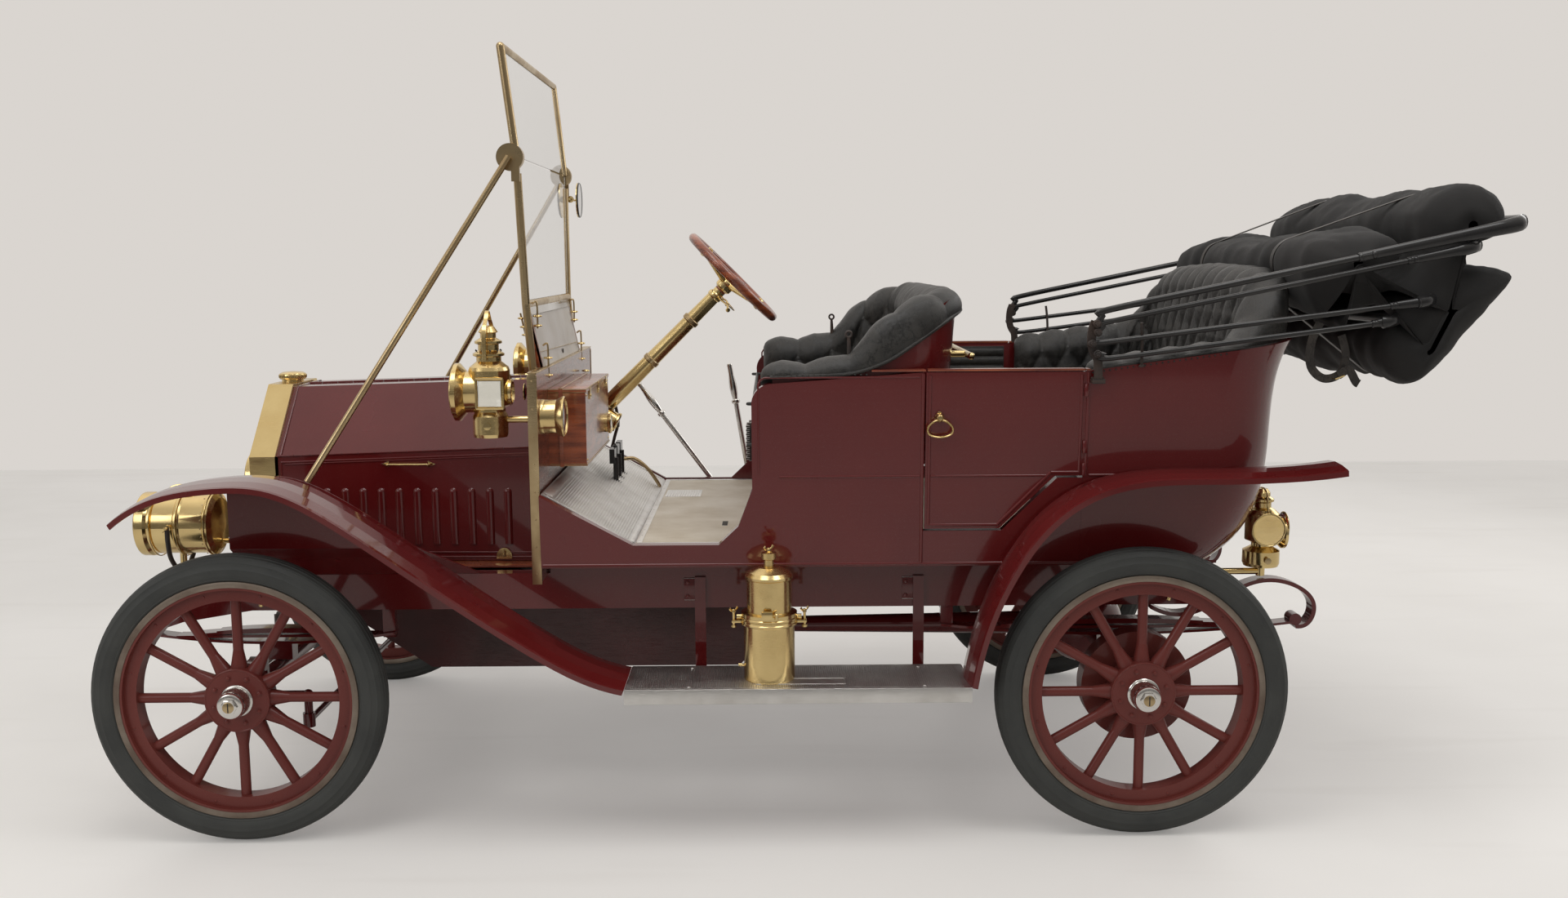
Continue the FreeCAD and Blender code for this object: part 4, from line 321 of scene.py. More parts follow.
# %% Metals
def metal_finish(name, bright, dull, polish=0.10, wear=0.26, tarnish=0.45, brushed=0.06):
    tree, surface = new_finish(name, Metallic=1.0)
    marks = masks_of(tree, story, Cloud_Scale=9.0, Speck_Scale=520.0, Scratch_Scale=130.0)
    spots = sum_of(tree, "MULTIPLY", marks["Cloud"], tarnish)
    tone = tone_mix(tree, sum_of(tree, "MAXIMUM", spots, sum_of(tree, "MULTIPLY", marks["Speck"], 0.35)),
                    bright, dull)
    tree.links.new(tone, surface.inputs["Base Color"])
    rub = sum_of(tree, "ADD", between(tree, marks["Cloud"], 0.0, 1.0, polish, wear),
                 sum_of(tree, "MULTIPLY", marks["Scratch"], 0.10))
    tree.links.new(rub, surface.inputs["Roughness"])
    raise_bump(tree, surface, sum_of(tree, "ADD", marks["Scratch"], noise_of(tree, 14.0, 2.0)), brushed, 0.0005)


metal_finish("brass", (0.80, 0.62, 0.30), (0.56, 0.38, 0.15))
metal_finish("aged_brass", (0.58, 0.45, 0.26), (0.36, 0.25, 0.13), polish=0.22, wear=0.40, tarnish=0.8)
metal_finish("nickel", (0.80, 0.78, 0.75), (0.52, 0.50, 0.46), polish=0.10, wear=0.28)
metal_finish("aluminium", (0.78, 0.77, 0.75), (0.56, 0.54, 0.51), polish=0.28, wear=0.44, tarnish=0.6, brushed=0.4)
metal_finish("mirror_silver", (0.90, 0.91, 0.92), (0.80, 0.80, 0.80), polish=0.02, wear=0.06, tarnish=0.2,
             brushed=0.02)
metal_finish("rim_steel", (0.34, 0.29, 0.24), (0.20, 0.15, 0.12), polish=0.45, wear=0.62, tarnish=0.9)
print("metals ready")

# %% [markdown]
# ### Iron, rubber, wood, leather, cloth and floor
# Soft and dull things get their look from roughness and grain more than from colour. The tyre is a dark rubber
# with a grey bloom, the mahogany is a stretched noise like the growth rings of a board, leather shows pores and
# creases with greyer crests, and the top's cloth is a fine weave.

# %% Rough dark finishes
def rough_finish(name, base, worn, rough_low, rough_high, scale, bump, depth):
    tree, surface = new_finish(name)
    marks = masks_of(tree, story, Cloud_Scale=scale, Speck_Scale=430.0, Scratch_Scale=70.0)
    mask = sum_of(tree, "MAXIMUM", marks["Cloud"], sum_of(tree, "MULTIPLY", marks["Speck"], 0.8))
    tree.links.new(tone_mix(tree, mask, base, worn), surface.inputs["Base Color"])
    tree.links.new(between(tree, marks["Cloud"], 0.0, 1.0, rough_low, rough_high), surface.inputs["Roughness"])
    raise_bump(tree, surface, sum_of(tree, "ADD", noise_of(tree, 380.0, 3.0), marks["Scratch"]), bump, depth)


rough_finish("tyre_rubber", (0.026, 0.028, 0.027), (0.050, 0.052, 0.048), 0.50, 0.72, 9.0, 0.35, 0.0008)
rough_finish("black_iron", (0.022, 0.018, 0.017), (0.060, 0.036, 0.026), 0.42, 0.66, 14.0, 0.5, 0.0012)
rough_finish("pan_iron", (0.070, 0.012, 0.012), (0.040, 0.013, 0.012), 0.26, 0.42, 5.0, 0.3, 0.0012)
rough_finish("white_board", (0.66, 0.62, 0.575), (0.58, 0.535, 0.48), 0.36, 0.55, 8.0, 0.2, 0.0006)
rough_finish("cream_floor", (0.68, 0.61, 0.50), (0.55, 0.47, 0.36), 0.45, 0.66, 7.0, 0.25, 0.0006)
# The last finish is near black. It is laid over slots and vent holes as painted shade for their dark insides.
rough_finish("painted_hole_shade", (0.02, 0.018, 0.015), (0.05, 0.04, 0.03), 0.6, 0.8, 30.0, 0.3, 0.0004)
print("rough finishes ready")

# %% Mahogany
for wood, light, dark in (("mahogany", (0.36, 0.085, 0.028), (0.13, 0.026, 0.010)),
                          ("dark_wood", (0.20, 0.040, 0.016), (0.075, 0.014, 0.008))):
    tree, surface = new_finish(wood, Coat_Weight=0.7, Coat_Roughness=0.12)
    rings = noise_of(tree, 12.0, 4.0, 0.5, (0.6, 1.2, 5.0))
    fibres = noise_of(tree, 180.0, 2.0, 0.5, (0.4, 0.4, 3.0))
    grain = sum_of(tree, "ADD", sum_of(tree, "MULTIPLY", rings, 0.82), sum_of(tree, "MULTIPLY", fibres, 0.18))
    tree.links.new(tone_mix(tree, between(tree, grain, 0.36, 0.64), light, dark), surface.inputs["Base Color"])
    tree.links.new(between(tree, fibres, 0.3, 0.7, 0.24, 0.42), surface.inputs["Roughness"])
    raise_bump(tree, surface, fibres, 0.05, 0.0004)
print("woods ready")

# %% Leather
for leather, base, crest in (("black_leather", (0.0080, 0.0080, 0.0075), (0.032, 0.029, 0.025)),
                             ("strap_leather", (0.012, 0.010, 0.009), (0.050, 0.040, 0.032))):
    tree, surface = new_finish(leather, Sheen_Weight=0.02, Sheen_Roughness=0.4)
    grain = masks_of(tree, hide, Pore_Scale=430.0, Crease_Scale=30.0)
    marks = masks_of(tree, story, Cloud_Scale=13.0, Speck_Scale=620.0, Scratch_Scale=90.0)
    worn = sum_of(tree, "MULTIPLY", marks["Cloud"], grain["Crease"])
    tree.links.new(tone_mix(tree, worn, base, crest), surface.inputs["Base Color"])
    tree.links.new(between(tree, marks["Cloud"], 0.0, 1.0, 0.30, 0.46), surface.inputs["Roughness"])
    raise_bump(tree, surface, grain["Height"], 0.45, 0.0009)
print("leather ready")

# %% Top cloth
tree, surface = new_finish("black_cloth", Sheen_Weight=0.05, Sheen_Roughness=0.5)
threads = masks_of(tree, weave, Threads=2600.0)
fade = masks_of(tree, story, Cloud_Scale=5.0, Speck_Scale=420.0, Scratch_Scale=40.0)
lint = sum_of(tree, "MAXIMUM", sum_of(tree, "MULTIPLY", fade["Cloud"], 0.8), fade["Speck"])
tree.links.new(tone_mix(tree, lint, (0.0050, 0.0048, 0.0048), (0.014, 0.012, 0.011)), surface.inputs["Base Color"])
tree.links.new(between(tree, threads["Height"], -1.0, 1.0, 0.70, 0.92), surface.inputs["Roughness"])
raise_bump(tree, surface, threads["Height"], 0.35, 0.0006)
print("cloth ready")

# %% Glass and lenses
for pane, tint, rough in (("glass", (0.98, 0.99, 0.99, 1), 0.0), ("lamp_glass", (0.96, 0.95, 0.90, 1), 0.02),
                          ("ruby_glass", (0.55, 0.01, 0.01, 1), 0.03)):
    tree, surface = new_finish(pane, Transmission_Weight=1.0, IOR=1.45)
    surface.inputs["Base Color"].default_value = tint
    smear = noise_of(tree, 24.0, 3.0)
    tree.links.new(between(tree, smear, 0.50, 0.80, rough, rough + 0.03), surface.inputs["Roughness"])
print("glass ready")

# %% Give each CAD node its finish
own_finish = {"windscreen_upper": "aged_brass", "windscreen_lower": "aged_brass", "screen_stays": "aged_brass",
              "under_pan": "pan_iron", "steering_column": "brass", "dash": "dark_wood",
              "floor": "maroon_paint", "running_boards": "maroon_paint", "hand_levers": "nickel"}
for name, node in nodes.items():
    wanted = own_finish.get(name) or ("wheel_paint" if name.startswith("wheel_") else None)
    for index, old in enumerate(node.data.materials):
        plain = old.name.split(".")[0]
        node.data.materials[index] = finishes[wanted or ("mahogany" if plain == "dark_wood" else plain)]
print("nodes finished", len(nodes))

# %% [markdown]
# ## Studio floor
# The floor is a plain painted slab with faint scuffs. A single flat quad does here: what matters is that its paint
# has some life and that it takes the car's shadow. The room's floor is nearly as pale as its wall, so it glows a
# little for the camera alone, which lightens it without putting more light on the car.

# %% Floor
floor_half = 6.0
tree, surface = new_finish("studio_floor")
scuffs = masks_of(tree, story, Cloud_Scale=0.8, Speck_Scale=60.0, Scratch_Scale=3.0)
floor_mask = sum_of(tree, "ADD", sum_of(tree, "MULTIPLY", scuffs["Cloud"], 0.35),
                    sum_of(tree, "MULTIPLY", scuffs["Scratch"], 0.25))
tree.links.new(tone_mix(tree, floor_mask, (0.76, 0.735, 0.70), (0.66, 0.63, 0.59)), surface.inputs["Base Color"])
tree.links.new(between(tree, scuffs["Cloud"], 0.0, 1.0, 0.42, 0.60), surface.inputs["Roughness"])
rays_here = add_node(tree, "ShaderNodeLightPath").outputs
lit = add_node(tree, "ShaderNodeMath", {"operation": "MAXIMUM"}, i0=rays_here["Is Camera Ray"],
               i1=rays_here["Is Transmission Ray"]).outputs[0]
glow = add_node(tree, "ShaderNodeEmission", Strength=sum_of(tree, "MULTIPLY", lit, 0.19))
glow.inputs["Color"].default_value = (1.0, 0.975, 0.95, 1)
both_shaders = add_node(tree, "ShaderNodeAddShader", i0=surface.outputs[0], i1=glow.outputs[0])
tree.links.new(both_shaders.outputs[0], tree.nodes["Material Output"].inputs["Surface"])
floor_mesh = bpy.data.meshes.new("studio_floor")
floor_mesh.from_pydata([(-floor_half * 1.6, -floor_half, 0), (floor_half * 1.6, -floor_half, 0),
                        (floor_half * 1.6, floor_half, 0), (-floor_half * 1.6, floor_half, 0)], [], [(0, 1, 2, 3)])
floor_mesh.materials.append(finishes["studio_floor"])
studio_floor = bpy.data.objects.new("studio_floor", floor_mesh)
bpy.context.scene.collection.objects.link(studio_floor)
print("floor", floor_half * 2, "m deep")

# %% [markdown]
# ## A bench for small metal work
# Most fittings on the car are turned on a lathe, bent from rod, or cut from sheet. Blender's own primitives would
# give plain shapes, so the bench builds each part in mesh code: turned work from a profile, bent work from a path,
# and flat work from an outline with a softened edge. One piece gathers many such parts, each with its own finish.

# %% The bench
mm = 0.001


def angles(count, start=0.0):
    """Evenly spaced angles of a full turn."""
    return [math.tau * (i + start) / count for i in range(count)]


def arc(steps, turn=math.pi):
    """Angles from 0 to turn, both ends included."""
    return [turn * i / steps for i in range(steps + 1)]


def ring_of(radius, count=12, flat=1.0):
    """A round section in millimetres; flat below 1 squeezes it upwards."""
    return [(radius * math.cos(a), radius * flat * math.sin(a)) for a in angles(count)]


def ring_faces(rings, count, closed=False):
    """Faces between neighbouring rings of count points; closed joins the last ring to the first."""
    return [(r * count + i, r * count + (i + 1) % count, (r + 1) % rings * count + (i + 1) % count,
             (r + 1) % rings * count + i) for r in range(rings if closed else rings - 1) for i in range(count)]


def curve_through(points, steps=6):
    """A smooth path through points, so a bent rod has no corners."""
    points = [Vector(p) for p in points]
    ends = [points[0] * 2 - points[1]] + points + [points[-1] * 2 - points[-2]]
    path = []
    for a, b, c, e in zip(ends, ends[1:], ends[2:], ends[3:]):
        for step in range(steps):
            t = step / steps
            path.append(0.5 * (2 * b + (c - a) * t + (2 * a - 5 * b + 4 * c - e) * t * t
                               + (3 * b - a - 3 * c + e) * t ** 3))
    return path + [points[-1]]


class Bench:
    """One piece while it is made: turned, bent and flat parts in one mesh, each with a finish.

    Places and vectors are in metres; radii, sections, profiles and softened edges are in millimetres.
    """

    def __init__(self):
        self.work = bmesh.new()
        self.used = []

    def number_of(self, finish):
        if finish not in self.used:
            self.used.append(finish)
        return self.used.index(finish)

    def shell(self, points, faces, finish):
        number = self.number_of(finish)
        made = [self.work.verts.new(point) for point in points]
        flat = []
        for face in faces:
            flat.append(self.work.faces.new([made[i] for i in face]))
            flat[-1].material_index = number
        return flat

    def turned(self, profile, centre, axis, finish, steps=24):
        """Turned work: (radius, height) pairs around an axis."""
        centre, turn = Vector(centre), Vector(axis).to_track_quat("Z", "Y")
        circle = [(math.cos(a), math.sin(a)) for a in angles(steps)]
        points = [centre + turn @ Vector((max(radius, 1e-4) * c, max(radius, 1e-4) * s, height)) * mm
                  for radius, height in profile for c, s in circle]
        faces = ring_faces(len(profile), steps)
        if profile[0] != profile[-1]:
            last = (len(profile) - 1) * steps
            faces += [tuple(range(steps))[::-1]] if profile[0][0] > 0.001 else []
            faces += [tuple(range(last, last + steps))] if profile[-1][0] > 0.001 else []
        self.shell(points, faces, finish)

    def bent(self, path, section, finish, up=(0, 0, 1), closed=False, swell=None):
        """Bent work: a section of (across, up) pairs carried along a path; swell scales it on the way."""
        path = [Vector(point) for point in path]
        count, last, points = len(section), len(path) - 1, []
        lean = Vector(up)
        for i, here in enumerate(path):
            before = path[i - 1] if i > 0 or closed else here
            after = path[(i + 1) % len(path)] if i < last or closed else here
            along = (after - before).normalized()
            lean = (lean - along * lean.dot(along)).normalized()
            size = (swell(i / last) if swell else 1.0) * mm
            side = along.cross(lean)
            points += [here + side * (a * size) + lean * (b * size) for a, b in section]
        faces = ring_faces(len(path), count, closed)
        if not closed:
            faces += [tuple(range(count))[::-1], tuple(range(last * count, (last + 1) * count))]
        self.shell(points, faces, finish)

    def cut_out(self, outline, thickness, finish, edge=0.0):
        """Flat work: an outline pulled along a thickness vector, its edges softened."""
        outline, count = [Vector(point) for point in outline], len(outline)
        points = outline + [point + Vector(thickness) for point in outline]
        faces = [tuple(range(count))[::-1], tuple(range(count, count * 2))]
        faces += [(i, (i + 1) % count, (i + 1) % count + count, i + count) for i in range(count)]
        flat = self.shell(points, faces, finish)
        if edge:
            rims = list({side for face in flat[:2] for side in face.edges})
            bmesh.ops.recalc_face_normals(self.work, faces=flat)
            bmesh.ops.bevel(self.work, geom=rims, offset=edge * mm, segments=2, affect="EDGES", profile=0.5)

    def slab(self, low, high, finish, edge=1.0):
        """A block between two corners with softened edges."""
        low, high = Vector(low), Vector(high)
        outline = [(low.x, low.y, low.z), (high.x, low.y, low.z), (high.x, high.y, low.z), (low.x, high.y, low.z)]
        self.cut_out(outline, (0, 0, high.z - low.z), finish, edge)

    def rivet(self, place, axis, radius, finish, height=0.55, steps=10):
        self.turned([(radius, -radius * 0.3), (radius, 0), (radius * 0.85, radius * height * 0.6),
                     (radius * 0.45, radius * height * 0.95), (0, radius * height)], place, axis, finish, steps)

    def nut(self, place, axis, across, height, finish):
        """A six-sided nut with a chamfered crown."""
        self.turned([(across, 0), (across, height * 0.8), (across * 0.88, height), (0, height)], place, axis,
                    finish, 6)

    def done(self, name, body="chassis", sharp=36):
        bmesh.ops.remove_doubles(self.work, verts=self.work.verts, dist=1e-6)
        bmesh.ops.recalc_face_normals(self.work, faces=self.work.faces)
        mesh = bpy.data.meshes.new(name)
        self.work.to_mesh(mesh)
        self.work.free()
        for finish in self.used:
            mesh.materials.append(finishes[finish])
        mesh.polygons.foreach_set("use_smooth", [True] * len(mesh.polygons))
        mesh.set_sharp_from_angle(angle=math.radians(sharp))
        piece = bpy.data.objects.new(name, mesh)
        bpy.context.scene.collection.objects.link(piece)
        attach(piece, body)
        print(name, len(mesh.polygons), "faces on", body)
        return piece


print("bench ready")

# %% [markdown]
# ## Wheels and tyres
# The tyres are early beaded-edge tyres: a round, nearly smooth section with a few moulded rings on the side and
# shallow ribs on the tread, held by a bare steel rim. The CAD tyre is a plain ring for collision, so a turned
# profile with those rings takes its place. Twelve wooden spokes and the hub flanges are in the CAD wheel already;
# the rim's rolled edges, flange bolts, valve and nickel hub cap are added here and spin with the wheel.

# %% Tyre profile
tyre_half = [(25, 309), (31, 312), (37.5, 318), (39.0, 320), (38.6, 322), (41.6, 328), (42.9, 336), (42.9, 343),
             (43.6, 345), (43.4, 347.5), (42.2, 349), (40.8, 355), (38.4, 361), (38.6, 363.5), (37.0, 365),
             (33.5, 369.5), (29.5, 373.2), (27.5, 373.0), (26.2, 375.2), (19.0, 378.3), (17.2, 377.2),
             (15.6, 379.3), (7.6, 380.8), (6.2, 379.4), (4.8, 381.0)]
tyre_profile = [(y, r) for y, r in tyre_half] + [(-y, r) for y, r in reversed(tyre_half)]
tyre_profile += [(-22, 303), (22, 303)]
print("tyre profile", len(tyre_profile), "points")

# %% Tyres, rims and hub fittings
wheel_side, tyre_steps = 0.711, 96
for place, end_x in (("front", axle_x), ("rear", rear_axle_x)):
    for word, side in SIDES:
        body = f"wheel_{place}_{word}"
        hub, out = Vector((end_x, wheel_side * side, axle_z)), Vector((0, side, 0))

        def on_wheel(turn, radius, proud=0.0):
            """A place by its angle, its distance from the hub and how far it stands out, in millimetres."""
            return hub + Vector((math.cos(turn), 0, math.sin(turn))) * radius * mm + out * proud * mm

        tyre = Bench()
        tyre.shell([on_wheel(turn, r, y) for turn in angles(tyre_steps) for y, r in tyre_profile],
                   ring_faces(tyre_steps, len(tyre_profile), closed=True), "tyre_rubber")
        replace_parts(tyre.done(f"beaded_tyre_{place}_{word}", body, 28), f"tyre_{place}_{word}")

        fittings = Bench()
        for face in (1, -1):
            fittings.turned([(297.5, 33.5), (298.5, 37.2), (303.5, 38.4), (309.5, 38.5), (313.8, 37.1), (315, 34.5),
                             (314, 31.8), (310.5, 31.8), (297.5, 33.5)], hub, out * face, "rim_steel", 96)
        flange = 29.8
        fittings.turned([(83.5, flange - 4), (83.8, flange + 0.6), (81.5, flange + 1.6), (79, flange + 0.5),
                         (78.5, flange - 1), (83.5, flange - 4)], hub, out, "wheel_paint", 64)
        for turn in angles(8, 0.4):
            fittings.turned([(7.8, 0), (7.8, 1.2), (5.2, 1.2), (5.2, 4), (3.5, 5.2), (0, 5.6)],
                            on_wheel(turn, 62, flange), out, "wheel_paint", 12)
        for turn in angles(12, 0.5):
            fittings.rivet(on_wheel(turn, 281, 22.8), out, 4.2, "wheel_paint")
        cap = flange + 1
        fittings.turned([(41.5, 0), (42, 3), (39.5, 5.5), (37.8, 6), (37.2, 30), (36.8, 40), (35.2, 45.5), (32.5, 49),
                         (29, 50.8), (22.5, 51.5), (0, 51.6)], on_wheel(0, 0, cap), out, "nickel", 40)
        fittings.nut(on_wheel(0, 0, cap + 51), out, 21.5, 8.5, "nickel")
        fittings.turned([(14.5, 0), (14.5, 1.2), (13.2, 2), (0, 2.1)], on_wheel(0, 0, cap + 59.4), out,
                        "aged_brass", 24)
        # The hub cap's slot is a thin near-black bar laid on the brass centre: painted shade for the groove.
        slot = Vector((1.6, 0.4, 12.5)) * mm
        fittings.slab(on_wheel(0, 0, cap + 61.2) - slot, on_wheel(0, 0, cap + 61.4) + slot, "painted_hole_shade", 0.2)
        stem = on_wheel(1.31, 272)
        fittings.turned([(4.2, 0), (4.2, 14), (5.6, 14.5), (5.6, 22), (3.6, 23.5), (0, 23.5)], stem, hub - stem,
                        "brass", 12)
        fittings.done(f"wheel_fittings_{place}_{word}", body)

# %% [markdown]
# ## Bonnet and radiator fittings
# The bonnet is five sheets joined by piano hinges, stiffened by beads pressed along their edges. The CAD has the
# sheets and louvres; a bead is only a few millimetres high, so it is bent along the panel's edge here. Each side
# panel opens, so its beads, handle and latch ride with it. The radiator core is a stack of thin fins crossed by
# flat tubes, set back inside the brass shell.

# %% Places in millimetres
def spot(station, y, level):
    """Behind the front axle, to the right, and above the ground, in millimetres."""
    return at(station * mm, y * mm, level * mm)


def along_bonnet(station, start, rise):
    """A measure that grows evenly from the radiator to the dash."""
    return start + rise * (station + 28) / 768


def bonnet_half(station):
    return along_bonnet(station, 286, 24)


def shoulder_level(station):
    return along_bonnet(station, 952, 26)


def bead_section(width, height):
    """A half-round moulding, across and up, in millimetres."""
    return [(width / 2 * math.cos(a), height * math.sin(a)) for a in arc(6)]


print("bonnet half width", bonnet_half(-28), "to", bonnet_half(740))

# %% Side panel beads, handle and latch
for word, side in SIDES:
    out = Vector((0, side, 0))

    def on_panel(station, level, proud=0.0):
        return spot(station, (bonnet_half(station) + proud) * side, level)

    panel = Bench()
    for inset, foot in ((9, 662), (20, 676)):
        corners = [(-22 + inset, foot), (-22 + inset, shoulder_level(-22) - 12 - inset / 2),
                   (733 - inset, shoulder_level(733) - 12 - inset / 2), (733 - inset, foot)]
        for a, b in zip(corners, corners[1:] + corners[:1]):
            if inset == 20 and (a[1] > 700) != (b[1] > 700):
                continue
            panel.bent([on_panel(*a), on_panel(*b)], bead_section(7 if inset == 9 else 5, 2.6), "maroon_paint",
                       up=out)
    grip = [on_panel(284, 930.5, 2), on_panel(292, 930.5, 11), on_panel(304, 930.5, 14),
            on_panel(398, 930.5, 14), on_panel(410, 930.5, 11), on_panel(418, 930.5, 2)]
    panel.bent(curve_through(grip, 5), ring_of(3.1, 10), "brass", up=out)
    for end, tip in ((296, 272), (406, 430)):
        panel.cut_out([on_panel(end, 940), on_panel(end, 921), on_panel(tip, 930.5)], out * 2.6 * mm, "brass", 0.8)
        panel.rivet(on_panel((end * 2 + tip) / 3, 930.5, 2.4), out, 2.6, "aged_brass")
    plate = [on_panel(593, 657), on_panel(639, 657)]
    plate += [on_panel(616 + 23 * math.cos(a), 664 + 26 * math.sin(a)) for a in arc(10)]
    panel.cut_out([point + out * 2.4 * mm for point in plate], out * 2.2 * mm, "brass", 0.8)
    panel.turned([(5.2, 0), (5.2, 3), (3.6, 8), (0, 8.4)], on_panel(616, 668, 4), out, "aged_brass", 14)
    panel.bent([on_panel(616, 668, 9), on_panel(619, 676, 10), on_panel(617, 684, 12)],
               ring_of(2.4, 8), "aged_brass", up=out, swell=lambda t: 1.2 - 0.5 * t)
    for place in ((598, 661), (634, 661), (616, 686)):
        panel.rivet(on_panel(*place, 4.4), out, 1.9, "aged_brass")
    panel.done(f"bonnet_beads_{word}", f"bonnet_side_{word}")

# %% Hinges, edge straps and sill boards
hinges = Bench()
for word, side in SIDES:
    for start in range(-20, 720, 46):
        ends = [spot(s, bonnet_half(s) * side, shoulder_level(s) + 1.5) for s in (start, start + 44.5)]
        hinges.bent(ends, ring_of(3.2, 10), "maroon_paint")
    hinges.slab(spot(-18, 288 * side, 644.6), spot(737, 372 * side, 650.6), "mahogany", 2)
for start in range(-20, 720, 46):
    ends = [spot(s, 0, along_bonnet(s, 1136.5, 21)) for s in (start, start + 44.5)]
    hinges.bent(ends, ring_of(3.2, 10), "maroon_paint")
for station in (-15, 729):
    half, low, high = bonnet_half(station), shoulder_level(station) + 3, along_bonnet(station, 1136, 21)
    hoop = [spot(station, y, z) for y, z in ((-half, low), (-104, high), (104, high), (half, low))]
    bead = bead_section(8, 2.4)
    for a, b in zip(hoop, hoop[1:]):
        turned_down = (b - a).cross(Vector((1, 0, 0))).z > 0
        hinges.bent([a, b], [(x, -y) for x, y in bead] if turned_down else bead, "maroon_paint")
hinges.done("bonnet_hinges")

# %% Radiator core and cap
core = Bench()
for i in range(62):
    level = 600 + i * 8.2
    half = 250 if level < 925 else 250 - (level - 925) * 0.86
    if level > 1104:
        break
    core.slab(spot(-90.5, -half, level), spot(-85.6, half, level + 1.3), "black_iron", 0.3)
for i in range(-17, 18):
    top = 1098 if abs(i) * 14 < 104 else 1098 - (abs(i) * 14 - 104) * 1.12
    core.slab(spot(-89.2, i * 14 - 2.2, 596), spot(-85.8, i * 14 + 2.2, top), "aged_brass", 0.4)
core.done("radiator_core")
cap = Bench()
middle = spot(-64, 0, 1148)
cap.turned([(33, -14), (35.5, -12), (35.5, -8), (32, -6.5), (32, 1), (38, 2.5), (39, 6), (39, 15), (37, 19),
            (30, 22.5), (12, 24.5), (0, 25)], middle, (0, 0, 1), "brass", 48)
for turn in angles(30):
    foot = middle + Vector((math.cos(turn), math.sin(turn), 0)) * 39 * mm + Vector((0, 0, 5.5 * mm))
    cap.turned([(0, 0), (1.7, 1.5), (1.7, 9), (0, 10.5)], foot, (0, 0, 1), "brass", 6)
cap.done("radiator_cap_knurl")

# %% [markdown]
# ## Lamps and gas generator
# All lamps are spun from sheet brass: the CAD has each turned body, and what makes them lamps is added here. A
# lens is a shallow dome of glass with a bright reflector behind it, a bezel is a rolled ring, and handles and
# wing nuts are bent or cast. Each is turned from a profile about its own axis.

# %% A wing nut and a lens
def wing_nut(bench, place, axis, reach, finish="brass"):
    """A threaded boss with two rounded wings."""
    axis = Vector(axis).normalized()
    across_wings = axis.orthogonal().normalized()
    bench.turned([(reach * 0.34, 0), (reach * 0.34, reach * 0.42), (reach * 0.20, reach * 0.62), (0, reach * 0.66)],
                 place, axis, finish, 12)
    for way in (1, -1):
        path = [place + (across_wings * way * outwards + axis * upwards) * reach * mm
                for outwards, upwards in ((0, 0.25), (0.55, 0.45), (0.92, 0.85))]
        bench.bent(curve_through(path, 4), ring_of(reach * 0.17, 8, 0.5), finish, up=axis.cross(across_wings),
                   swell=lambda t: 0.75 + 0.75 * t)


def lens(bench, centre, axis, radius, bulge, pane="lamp_glass", back="mirror_silver", rim="brass"):
    """A reflector, a domed glass and the rolled ring that holds them."""
    bench.turned([(radius * 0.97, -radius * 0.10), (radius * 0.70, -radius * 0.12), (0, -radius * 0.13),
                  (0, -radius * 0.11), (radius * 0.97, -radius * 0.08)], centre, axis, back, 40)
    dome = [(radius * math.cos(a), bulge * math.sin(a)) for a in arc(6, math.pi / 2)]
    bench.turned([(radius * 0.97, 0)] + dome[:-1] + [(0, bulge), (0, bulge * 0.7), (radius * 0.6, bulge * 0.45),
                                                     (radius * 0.97, 0)], centre, axis, pane, 40)
    edge = radius * 1.04
    loop = [(edge + radius * 0.06 * math.cos(a), radius * 0.06 * math.sin(a)) for a in angles(10)]
    bench.turned(loop + loop[:1], centre, axis, rim, 48)


print("lamp helpers ready")

# %% Head lamps
for word, side in SIDES:
    lamp = Bench()
    y = 410 * side
    lens(lamp, spot(-346, y, 785), (-1, 0, 0), 80, 9)
    for ring_station in (-308, -236, -160):
        lamp.turned([(87.2, -2.5), (89.4, -1.6), (89.8, 0), (89.4, 1.6), (87.2, 2.5), (87.2, -2.5)],
                    spot(ring_station, y, 785), (-1, 0, 0), "brass", 48)
    for turn in angles(24):
        lamp.rivet(spot(-168, y + 87.5 * math.cos(turn), 785 + 87.5 * math.sin(turn)),
                   (0, math.cos(turn), math.sin(turn)), 2.3, "aged_brass")
    for way in (1, -1):
        arm = [spot(-253, y, 650), spot(-253, y + 40 * way, 664), spot(-253, y + 82 * way, 704),
               spot(-253, y + 95 * way, 750), spot(-253, y + 96 * way, 790)]
        lamp.bent(curve_through(arm, 5), ring_of(6.5, 10), "black_iron", up=(1, 0, 0))
        lamp.turned([(9, -4), (9, 5), (0, 6)], spot(-253, y + 92 * way, 788), (0, way, 0), "brass", 16)
        wing_nut(lamp, spot(-253, y + 97 * way, 788), (0, way, 0), 13)
    bail = [spot(-250 + 34 * math.cos(a), y, 872 + 20 * math.sin(a)) for a in arc(8)[::-1]]
    lamp.bent(curve_through(bail, 3), ring_of(3.2, 8), "brass", up=(0, 1, 0))
    lamp.turned([(7, 0), (7, 16), (4.5, 18), (4.5, 30), (6, 31),
                 (6, 36), (0, 36)], spot(-140, y, 735), (1, 0, 0), "brass", 14)
    lamp.done(f"headlamp_fittings_{word}")

